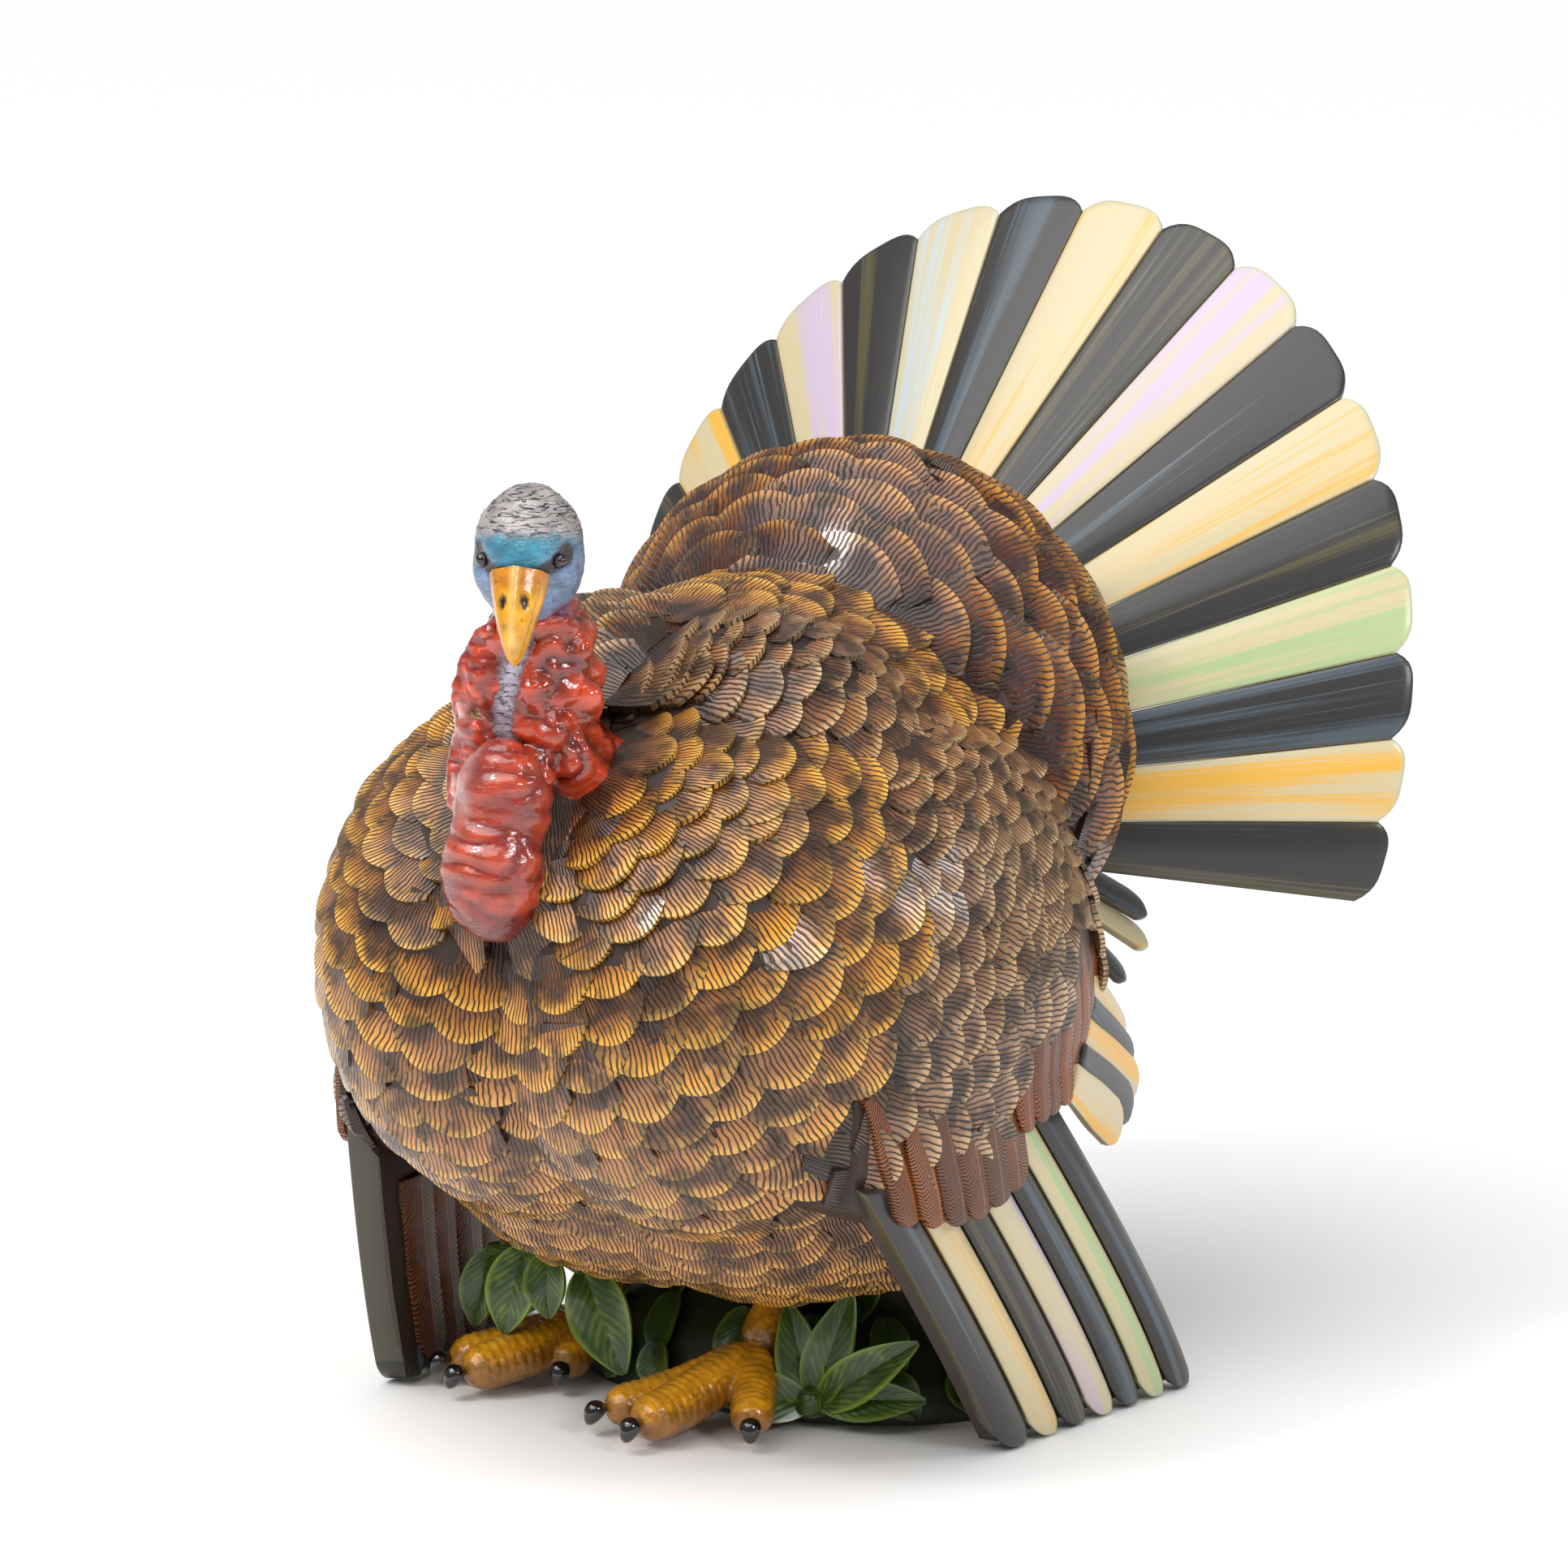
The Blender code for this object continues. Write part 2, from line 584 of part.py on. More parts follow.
def build_undertail():
    """Three short striped feathers below the fan on each side."""
    shape = (0.5, 0.7, 0.85, 0.95, 1.0, 0.9, 0.6)
    for side, word in ((1, "left"), (-1, "right")):
        for i, (root, tip, wide) in enumerate(UNDERTAIL):
            facing = (0.75 * side, 0.25, 0.6)
            drop_by = Vector((0, 0, 0 if side > 0 else UNDERTAIL_DROP))
            obj = blade(Vector(mirrored(root, side)) - drop_by,
                        Vector(mirrored(tip, side)) - drop_by, wide, facing, 2.6, shape)
            combine(obj, [body_form(CLEAR), form(MANTLE, CLEAR), wing_skin(side, CLEAR)],
                    "DIFFERENCE")
            finish(obj, f"undertail_{word}_{i + 1}", "cream" if i == 1 else "black")


def foot_form(toes, shank, grow=0.0):
    """The union of a foot's toes and shank."""
    obj = tube(shank, grow, around=12)
    return combine(obj, [tube(toe, grow, around=12) for toe in toes], "UNION")


def build_feet_and_base():
    """Two feet, the leafy mound the bird stands on, and its two leaf sprays."""
    feet = (("foot_left", LEFT_TOES, LEFT_SHANK), ("foot_right", RIGHT_TOES, RIGHT_SHANK))
    for name, toes, shank in feet:
        foot = foot_form(toes, shank)
        combine(foot, [body_form(CLEAR)], "DIFFERENCE")
        finish(foot, name, "ochre")

    def mound(grow=0.0):
        return ellipsoid(*BASE, grow, 32, 16, half=grow == 0.0)

    base = mound()
    combine(base, [body_form(CLEAR)] + [foot_form(t, s, CLEAR) for _, t, s in feet],
            "DIFFERENCE")
    finish(base, "base_mound", "moss")

    for name, (stalk, leaves) in (("leaf_spray_left", LEFT_SPRAY),
                                  ("leaf_spray_right", RIGHT_SPRAY)):
        spray = tube(stalk, around=8)
        combine(spray, [blade(a, b, w, (0.25, -0.9, 0.35), LEAF_THICK, bow=3.0)
                        for a, b, w in leaves], "UNION")
        combine(spray, [body_form(CLEAR), mound(CLEAR)]
                + [foot_form(t, s, CLEAR) for _, t, s in feet], "DIFFERENCE")
        finish(spray, name, "leaf")


def main():
    for obj in list(bpy.data.objects):
        bpy.data.objects.remove(obj)
    build_body()
    build_neck_and_head()
    build_wing(1)
    build_wing(-1)
    build_tail()
    build_undertail()
    build_feet_and_base()


main()
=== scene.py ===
"""Looks of a strutting turkey display figure: carved feather coats, striped blades,
bare head and neck, feet, leaves and base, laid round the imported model's bodies.

Functions work in millimetres in the row frame (the bird faces -Y, its left is +X,
+Z is up) and hand Blender metres.
"""

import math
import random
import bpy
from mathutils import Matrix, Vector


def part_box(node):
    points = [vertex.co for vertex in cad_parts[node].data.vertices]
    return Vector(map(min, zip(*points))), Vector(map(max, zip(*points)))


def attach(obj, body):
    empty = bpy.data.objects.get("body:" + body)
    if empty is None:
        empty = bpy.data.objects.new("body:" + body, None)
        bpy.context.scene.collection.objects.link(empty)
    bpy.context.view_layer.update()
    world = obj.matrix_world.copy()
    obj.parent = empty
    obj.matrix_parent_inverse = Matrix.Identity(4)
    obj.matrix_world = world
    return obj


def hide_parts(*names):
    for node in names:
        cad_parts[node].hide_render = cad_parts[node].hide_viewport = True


bl_info = {
    "name": "Turkey Display Figure",
    "version": (1, 0, 0),
    "blender": (4, 5, 0),
    "location": "View3D > Sidebar > Turkey",
    "description": "Builds the painted surface of a cast turkey figure round its CAD frame",
    "category": "Object",
}
from functools import partial

import bpy
import numpy as np
from mathutils import Matrix, Vector, noise
from mathutils.bvhtree import BVHTree

MM = 0.001
SIDES = ((1, "left"), (-1, "right"))

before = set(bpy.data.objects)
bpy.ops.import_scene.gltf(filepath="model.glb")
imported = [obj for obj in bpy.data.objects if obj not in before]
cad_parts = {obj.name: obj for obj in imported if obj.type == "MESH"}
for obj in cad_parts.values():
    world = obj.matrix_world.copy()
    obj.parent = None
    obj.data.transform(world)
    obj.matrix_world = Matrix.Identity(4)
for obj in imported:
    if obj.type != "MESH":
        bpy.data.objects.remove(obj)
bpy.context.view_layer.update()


# ------------------------------------------------------------------ driving sizes, mm
HEAD_CENTRE = Vector((1, -137, 330))
HEAD_RADII = (19, 23, 25.5)
HEAD_TURN = Matrix.Rotation(math.radians(24), 3, "Z")

TAIL_COUNT = 21
TAIL_STEP = 10.47               # degrees between neighbouring tips
TAIL_TURN = -3.6                # the fan leans to one side, degrees
TAIL_TILT = math.radians(11.5)  # and back
RIM_CENTRE = Vector((0, 118, 228.5))
RIM_RADII = (66.0, 89.0)
RIM_SPREAD = 1.1
TIP_CENTRE = Vector((0, 197, 222.5))
TIP_RADIUS = 189.7
TIP_EGG = (0.056, 0.06)
TIP_CUP = 9.8
FAN_BACK = Vector((0, math.cos(TAIL_TILT), -math.sin(TAIL_TILT)))

FLIGHT_COUNT = 7                # striped feathers on each wing
FLIGHT_SPLIT = (0.0, 0.17, 0.32, 0.46, 0.6, 0.73, 0.86, 1.0)
FLIGHT_ROOT = ((-100, 112), (28, 118))
FLIGHT_FOOT = ((-17, 0.5), (102, 0.5))
FLIGHT_X = ((115.0, 120.0), (123.0, 138.0))
WING_SHIFT = {1: (0.0, 0.0), -1: (8.0, -45.0)}

LEFT_TOES = [[(22, -24, 24, 9), (4, -50, 13, 9.5), (-13, -72, 9, 8.5)],
             [(22, -24, 24, 9), (14, -56, 14, 10), (9, -84, 9.5, 9)],
             [(22, -24, 24, 9), (33, -44, 13, 9), (42, -60, 9, 8)]]
LEFT_SHANK = [(22, -24, 24, 10), (24, -10, 46, 8.5), (26, -2, 64, 8.5)]
RIGHT_TOES = [[(-62, -8, 22, 9), (-80, -28, 14, 9.5), (-99, -48, 9.5, 8.5)],
              [(-62, -8, 22, 9), (-72, -36, 14, 10), (-84, -60, 9.5, 9)],
              [(-62, -8, 22, 9), (-60, -22, 13, 9), (-57, -34, 9.5, 8)]]
RIGHT_SHANK = [(-62, -8, 22, 10), (-58, 6, 44, 8.5), (-54, 14, 64, 8.5)]

# Leaves as stalk end, tip and half-width; stalks as x, y, z, radius.
LEFT_SPRAY = ([(46, -27, 6, 4), (47, -28, 11, 4.5), (48, -26, 16, 3.5)],
              [((46, -27, 9), (12, -44, 16), 9.0), ((47, -26, 9), (34, -22, 45), 8.5),
               ((48, -26, 9), (58, -17, 51), 9.0), ((49, -26, 9), (86, -17, 36), 8.5),
               ((49, -26, 11), (88, -14, 14), 7.5)])
RIGHT_SPRAY = ([(-92, -33, 50, 2.5), (-72, -37, 55, 3), (-56, -40, 55, 3), (-42, -41, 50, 2.5)],
               [((-43, -41, 51), (-22, -46, 15), 11.5), ((-71, -38, 55), (-77, -44, 22), 10.0),
                ((-88, -34, 51), (-95, -38, 21), 8.0), ((-60, -40, 55), (-58, -42, 30), 8.0)])
UNDERTAIL = [((61, 126, 189), (75, 172, 163), 8.5), ((65, 120, 181), (79, 166, 152), 8.5),
             ((70, 112, 173), (83, 142, 143), 8.5)]
UNDERTAIL_DROP = 11.0

MOUND_TOP = 52.0                # height of the moss mound

VIEW_TURN, VIEW_RISE, VIEW_AWAY = 32.0, 10.0, 2.2   # degrees, degrees, metres
VIEW_TARGET = Vector((0, 0.0296, 0.226))
VIEW_LENS = 136.65
BACKDROP_STRENGTH = 0.29
# name, kind, place in metres, size in metres (a sun's angle in radians), power, colour
LAMPS = (("key_softbox", "AREA", (-0.9, -1.7, 2.5), 0.36, 14.0, (1.0, 0.98, 0.95)),
         ("side_softbox", "AREA", (2.0, -0.8, 1.3), 0.5, 12.0, (0.96, 0.98, 1.0)),
         ("rim_softbox", "AREA", (2.2, 0.9, 1.6), 0.5, 9.0, (1.0, 1.0, 1.0)),
         ("overhead_light", "SUN", (-0.35, -0.95, 2.5), 1.25, 2.75, (1.0, 1.0, 1.0)))


def linear(code, alpha=1.0):
    """An sRGB hex colour as linear red, green, blue and alpha."""
    parts = [int(code[i:i + 2], 16) / 255 for i in (0, 2, 4)]
    parts = [c / 12.92 if c <= 0.04045 else ((c + 0.055) / 1.055) ** 2.4 for c in parts]
    return (*parts, alpha)


# ------------------------------------------------------------------ what a user may change
def colour_choice(name, description, code):
    return bpy.props.FloatVectorProperty(name=name, description=description, subtype="COLOR",
                                         size=4, min=0.0, max=1.0, default=linear(code))


class TurkeyPaints(bpy.types.PropertyGroup):
    """Paint colours of the figure."""
    groove: colour_choice("Groove wash", "Dark wash left in the carved grooves", "231208")
    breast: colour_choice("Breast ridge", "Dry-brushed ridges of breast feathers", "84522A")
    tip: colour_choice("Upper tips", "Ochre tips of the upper breast", "EEA632")
    low_tip: colour_choice("Lower tips", "Orange tips of the lower breast", "D8904E")
    mantle: colour_choice("Mantle ridge", "Ridges of the mantle feathers", "4E200A")
    mantle_tip: colour_choice("Mantle tips", "Golden rims of the mantle feathers", "A86A24")
    covert: colour_choice("Covert ridge", "Greyish ridges of the wing scales", "74492E")
    quill: colour_choice("Quill brown", "Long brown wing feathers", "7C3E18")
    black: colour_choice("Stripe black", "Dark stripes of wings and fan", "242120")
    cream: colour_choice("Stripe cream", "Pale stripes of wings and fan", "CDBF98")
    red: colour_choice("Skin red", "Glazed red of neck and bulb", "AC3212")
    ochre: colour_choice("Foot ochre", "Ochre of beak and feet", "DE980F")
    leaf: colour_choice("Leaf green", "Dark green of the leaves", "2F4A12")


class TurkeySizes(bpy.types.PropertyGroup):
    """Feather sizes of the carved coats."""
    breast_width: bpy.props.FloatProperty(
        name="Breast width", description="Width of a breast feather in mm", default=26.0, min=8)
    breast_pitch: bpy.props.FloatProperty(
        name="Breast pitch", description="Distance between breast rows in mm", default=13.0, min=4)
    mantle_width: bpy.props.FloatProperty(
        name="Mantle width", description="Width of a mantle feather in mm", default=34.0, min=8)
    mantle_pitch: bpy.props.FloatProperty(
        name="Mantle pitch", description="Distance between mantle rows in mm", default=17.0, min=4)
    scale_width: bpy.props.FloatProperty(
        name="Scale width", description="Width of a wing scale in mm", default=21.0, min=5)
    scale_pitch: bpy.props.FloatProperty(
        name="Scale pitch", description="Distance between wing rows in mm", default=12.5, min=3)
    sweep: bpy.props.FloatProperty(
        name="Floor size", description="Side of the floor", default=80.0, unit="LENGTH")


def paints():
    return bpy.context.scene.turkey_paints


def sizes():
    return bpy.context.scene.turkey_sizes


# ------------------------------------------------------------------ modelling helpers
def only(obj):
    """Select obj alone and make it active."""
    bpy.ops.object.select_all(action="DESELECT")
    obj.select_set(True)
    bpy.context.view_layer.objects.active = obj


def shaped_grid(name, across, along, place):
    """A grid primitive whose points are carried to place(u, v), given in mm."""
    bpy.ops.object.select_all(action="DESELECT")
    bpy.ops.mesh.primitive_grid_add(x_subdivisions=across, y_subdivisions=along, size=1.0)
    obj = bpy.context.object
    obj.name = obj.data.name = name
    for v in obj.data.vertices:
        v.co = Vector(place(v.co.x + 0.5, v.co.y + 0.5)) * MM
    return obj


def weld(obj, gap=0.02):
    """Join points nearer than gap mm, and turn the faces outward."""
    only(obj)
    bpy.ops.object.mode_set(mode="EDIT")
    bpy.ops.mesh.select_all(action="SELECT")
    bpy.ops.mesh.remove_doubles(threshold=gap * MM)
    bpy.ops.mesh.normals_make_consistent(inside=False)
    bpy.ops.object.mode_set(mode="OBJECT")
    return obj


def face_towards(obj, direction):
    """Turn an open sheet over if it faces away from direction."""
    total = sum((p.normal * p.area for p in obj.data.polygons), Vector())
    if total.dot(Vector(direction)) < 0:
        only(obj)
        bpy.ops.object.mode_set(mode="EDIT")
        bpy.ops.mesh.select_all(action="SELECT")
        bpy.ops.mesh.flip_normals()
        bpy.ops.object.mode_set(mode="OBJECT")
    return obj


def with_modifier(obj, kind, **settings):
    """Add a modifier with these settings and apply it."""
    only(obj)
    mod = obj.modifiers.new(kind, kind)
    for key, value in settings.items():
        setattr(mod, key, value)
    bpy.ops.object.modifier_apply(modifier=mod.name)
    return obj


def joined(objs, name):
    """Join objects into the first one."""
    bpy.ops.object.select_all(action="DESELECT")
    for obj in objs:
        obj.select_set(True)
    bpy.context.view_layer.objects.active = objs[0]
    if len(objs) > 1:
        bpy.ops.object.join()
    obj = bpy.context.object
    obj.name = obj.data.name = name
    return obj


def fused(objs, name, voxel, rounds):
    """One closed skin over several closed forms, smoothed."""
    obj = joined(objs, name)
    with_modifier(obj, "REMESH", mode="VOXEL", voxel_size=voxel * MM)
    with_modifier(obj, "SMOOTH", factor=0.5, iterations=rounds)
    return obj


def smooth(obj, angle=40):
    only(obj)
    bpy.ops.object.shade_smooth_by_angle(angle=math.radians(angle))
    return obj


def round_form(name, centre, radii, around=48, up=32):
    """A closed egg form from a grid wrapped round Z."""
    def place(u, v):
        lat, lon = math.pi * (v - 0.5), math.tau * u
        return (centre[0] + radii[0] * math.cos(lat) * math.cos(lon),
                centre[1] + radii[1] * math.cos(lat) * math.sin(lon),
                centre[2] + radii[2] * math.sin(lat))
    return weld(shaped_grid(name, around, up, place))


def curve_through(joints, steps):
    """Smooth run of positions and radii through (x, y, z, radius) joints."""
    pts = [Vector(j) for j in joints]
    pts = [pts[0] * 2 - pts[1]] + pts + [pts[-1] * 2 - pts[-2]]
    spans = len(pts) - 3
    out = []
    for k in range(steps + 1):
        s = min(k / steps * spans, spans - 1e-6)
        i, t = int(s), s - int(s)
        a, b, c, d = pts[i:i + 4]
        out.append(0.5 * ((2 * b) + (c - a) * t + (2 * a - 5 * b + 4 * c - d) * t * t
                          + (3 * b - a - 3 * c + d) * t ** 3))
    return out


def limb(name, joints, around=24, along=40, ripple=None):
    """A closed round limb through joints; ripple(length, angle) adds to its radius in mm."""
    run = curve_through(joints, along)
    lengths = [0.0]
    for a, b in zip(run, run[1:]):
        lengths.append(lengths[-1] + (b.xyz - a.xyz).length)

    def place(u, v):
        k = v * along
        i = min(int(k), along - 1)
        spot = run[i].lerp(run[i + 1], k - i)
        ahead = (run[min(i + 1, along)].xyz - run[max(i - 1, 0)].xyz).normalized()
        side = (Vector((0.96, 0.28, 0)) - ahead * ahead.dot(Vector((0.96, 0.28, 0)))).normalized()
        rise = ahead.cross(side)
        length = lengths[i] + (lengths[i + 1] - lengths[i]) * (k - i)
        near_end = min(length, lengths[-1] - length) / spot.w
        cap = math.sqrt(max(0.0, 1 - (1 - min(near_end, 1.0)) ** 2))
        a = math.tau * u
        radius = (spot.w + (ripple(length, a) if ripple else 0.0)) * cap
        return (spot.xyz + side * math.cos(a) * radius + rise * math.sin(a) * radius)
    return weld(shaped_grid(name, around, along, place))


def carve(obj, relief, tint=None):
    """Move each point out by relief(point, normal) mm and paint it with tint(point, relief)."""
    normals = [v.normal.copy() for v in obj.data.vertices]
    colours = []
    for v, n in zip(obj.data.vertices, normals):
        p = v.co / MM
        height = relief(p, n)
        if tint:
            colours.extend(tint(p, height, n))
        v.co = (p + n * height) * MM
    if tint:
        layer = obj.data.attributes.new("paint", "FLOAT_COLOR", "POINT")
        layer.data.foreach_set("color", colours)
    return obj


def lerp_colour(a, b, t):
    t = min(max(t, 0.0), 1.0)
    return tuple(x + (y - x) * t for x, y in zip(a, b))


def step(low, high, x):
    """Smooth step from 0 at low to 1 at high."""
    t = min(max((x - low) / (high - low), 0.0), 1.0)
    return t * t * (3 - 2 * t)


def bump(p, centre, reach):
    """Smooth bell of height 1 round a point."""
    return math.exp(-((Vector(p) - Vector(centre)).length / reach) ** 2)


def mark(obj, **values):
    """Give every point the same float or colour attribute."""
    for name, value in values.items():
        kind = "FLOAT_COLOR" if hasattr(value, "__len__") else "FLOAT"
        layer = obj.data.attributes.new(name, kind, "POINT")
        count = len(obj.data.vertices)
        if kind == "FLOAT":
            layer.data.foreach_set("value", [value] * count)
        else:
            layer.data.foreach_set("color", list(value) * count)
    return obj


def settle(obj, mat, body, slot_name, *nodes):
    """Give a piece its paint and the body it rides on, and hide the CAD nodes it stands for."""
    obj.data.materials.clear()
    obj.data.materials.append(mat)
    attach(obj, body)
    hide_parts(*nodes)
    return obj


# ------------------------------------------------------------------ materials
def fill(tree, node, inputs):
    """Set or link a node's inputs; a node given as a value stands for its first output."""
    for key, value in inputs.items():
        if isinstance(value, bpy.types.Node):
            value = value.outputs[0]
        if isinstance(value, bpy.types.NodeSocket):
            tree.links.new(value, node.inputs[key])
        else:
            node.inputs[key].default_value = value
    return node


def put(tree, kind, settings=None, inputs=None):
    """Add a shader node with its settings and links."""
    node = tree.nodes.new("ShaderNode" + kind)
    for key, value in (settings or {}).items():
        setattr(node, key, value)
    return fill(tree, node, inputs or {})


def begin(name, roughness, coat, coat_roughness, ior=1.5):
    """A Principled material with its constant gloss values on its own sockets, and the
    functions that add nodes to it and that link them to its shader."""
    mat = bpy.data.materials.new(name)
    mat.use_nodes = True
    tree = mat.node_tree
    shader = tree.nodes["Principled BSDF"]
    fill(tree, shader, {"Roughness": roughness, "Coat Weight": coat,
                        "Coat Roughness": coat_roughness, "IOR": ior})
    return mat, partial(put, tree), partial(fill, tree, shader)


MIX = {"data_type": "RGBA"}
SMOOTH = {"interpolation_type": "SMOOTHSTEP"}
# the sums a Math node does here
TIMES, TIMES_PLUS, MINUS, ABS, FOLDED, LARGER = (
    {"operation": word} for word in ("MULTIPLY", "MULTIPLY_ADD", "SUBTRACT", "ABSOLUTE",
                                     "PINGPONG", "MAXIMUM"))


def carved_resin(name, groove, ridges, tips, rim, barbs, depth=0.5):
    """Cast resin feather: dark wash stays in the carved barbs, ochre is dry-brushed on
    the ridges towards the tip, painted shade darkens the ridges towards the root, and varnish gives
    hard small highlights."""
    mat, add, dress = begin(name, 0.36, 0.6, 0.1, 1.42)
    uv = add("UVMap", {"uv_map": "UVMap"})
    uvs = add("SeparateXYZ", None, {0: uv})
    tint = add("Attribute", {"attribute_name": "tint"})
    zone = add("Attribute", {"attribute_name": "zone"})
    place = add("TexCoord")
    # patches of paint some 12 mm across
    patch = add("TexNoise", None, {"Vector": place.outputs["Object"], "Scale": 80.0,
                                   "Detail": 4.0})
    spread = add("VectorMath", {"operation": "ADD"}, {0: uv, 1: tint.outputs["Vector"]})
    waver = add("TexNoise", None, {"Vector": spread, "Scale": 3.0, "Detail": 2.0})
    shift = add("Math", TIMES_PLUS, {0: waver.outputs["Fac"], 1: 0.16, 2: uvs.outputs["X"]})
    barb = add("Math", TIMES, {0: shift, 1: barbs})
    wave = add("Math", FOLDED, {0: barb, 1: 0.5})
    line = add("MapRange", SMOOTH, {"Value": wave, "From Min": 0.02, "From Max": 0.24})
    ragged = add("Math", TIMES_PLUS, {0: patch.outputs["Fac"], 1: 0.5, 2: uvs.outputs["Y"]})
    tip_mask = add("MapRange", SMOOTH, {"Value": ragged, "From Min": 0.9, "From Max": 1.28})
    weight = add("MapRange", None, {"Value": tint.outputs["Fac"], "To Min": 0.45, "To Max": 1.0})
    tip_amount = add("Math", TIMES, {0: tip_mask, 1: weight})
    tip_colour = add("Mix", MIX, {0: zone.outputs["Fac"], 6: tips[0], 7: tips[1]})
    ridge = add("Mix", MIX, {0: zone.outputs["Fac"], 6: ridges[0], 7: ridges[1]})
    aged = add("Mix", {**MIX, "blend_type": "MULTIPLY"},
               {0: 0.7, 6: ridge.outputs[2], 7: patch.outputs["Fac"]})
    bright = add("Mix", {**MIX, "blend_type": "ADD"},
                 {0: weight, 6: aged.outputs[2], 7: ridge.outputs[2]})
    body = add("Mix", MIX, {0: tip_amount, 6: bright.outputs[2], 7: tip_colour.outputs[2]})
    edge = add("MapRange", SMOOTH, {"Value": uvs.outputs["Y"], "From Min": 0.86,
                                    "From Max": 0.995, "To Max": 0.75})
    rimmed = add("Mix", MIX, {0: edge, 6: body.outputs[2], 7: rim})
    # painted shade: the barb ridges darken towards the root, where the feather above overlaps this
    # one
    root_shade_factor = add("MapRange", SMOOTH, {"Value": uvs.outputs["Y"], "From Min": 0.36,
                                         "From Max": 0.74, "To Min": 0.35})
    lit = add("Math", TIMES, {0: line, 1: root_shade_factor})
    aside = add("Math", MINUS, {0: uvs.outputs["X"], 1: 0.5})
    away = add("Math", ABS, {0: aside})
    side = add("MapRange", SMOOTH, {"Value": away, "From Min": 0.5, "From Max": 0.26,
                                    "To Min": 0.25})
    wear_and_highlight_patches = add("MapRange", SMOOTH, {"Value": patch.outputs["Fac"], "From Min": 0.36,
                                    "From Max": 0.56, "To Min": 0.25})
    shown = add("Math", TIMES, {0: side, 1: wear_and_highlight_patches})
    dosed = add("Math", TIMES, {0: shown, 1: lit})
    colour = add("Mix", MIX, {0: dosed, 6: groove, 7: rimmed.outputs[2]})
    relief = add("Math", TIMES_PLUS, {0: patch.outputs["Fac"], 1: 0.5, 2: line})
    raised = add("Bump", None, {"Strength": 1.0, "Distance": depth * MM, "Height": relief})
    wet = add("MapRange", None, {"Value": patch.outputs["Fac"], "From Min": 0.35,
                                 "From Max": 0.6, "To Min": 0.5, "To Max": 0.22})
    dress({"Roughness": wet, "Base Color": colour.outputs[2], "Normal": raised,
           "Coat Normal": raised})
    return mat


def quill_resin(name, dark, ridge, warm):
    """Cast resin long feather: a shaft with slanting barbs to each side, brown glaze
    rubbed off the ridges, varnished."""
    mat, add, dress = begin(name, 0.38, 0.3, 0.14, 1.42)
    uv = add("UVMap", {"uv_map": "UVMap"})
    uvs = add("SeparateXYZ", None, {0: uv})
    tint = add("Attribute", {"attribute_name": "tint"})
    place = add("TexCoord")
    patch = add("TexNoise", None, {"Vector": place.outputs["Object"], "Scale": 70.0,
                                   "Detail": 5.0})
    aside = add("Math", MINUS, {0: uvs.outputs["X"], 1: 0.5})
    away = add("Math", ABS, {0: aside})
    slant = add("Math", TIMES_PLUS, {0: away, 1: -0.42, 2: uvs.outputs["Y"]})
    rough_slant = add("Math", TIMES_PLUS, {0: patch.outputs["Fac"], 1: 0.12, 2: slant})
    # barbs 1.5 mm apart on a feather 50 mm long
    barb = add("Math", TIMES, {0: rough_slant, 1: 34.0})
    wave = add("Math", FOLDED, {0: barb, 1: 0.5})
    line = add("MapRange", SMOOTH, {"Value": wave, "From Min": 0.06, "From Max": 0.34})
    shaft = add("MapRange", SMOOTH, {"Value": away, "From Min": 0.05, "From Max": 0.015})
    top = add("Math", LARGER, {0: line, 1: shaft})
    glow = add("Math", TIMES, {0: patch.outputs["Fac"], 1: tint.outputs["Fac"]})
    warmth = add("MapRange", SMOOTH, {"Value": glow, "From Min": 0.12, "From Max": 0.42})
    brown = add("Mix", MIX, {0: warmth, 6: ridge, 7: warm})
    colour = add("Mix", MIX, {0: top, 6: dark, 7: brown.outputs[2]})
    raised = add("Bump", None, {"Strength": 0.8, "Distance": 0.45 * MM, "Height": top})
    dress({"Base Color": colour.outputs[2], "Normal": raised, "Coat Normal": raised})
    return mat


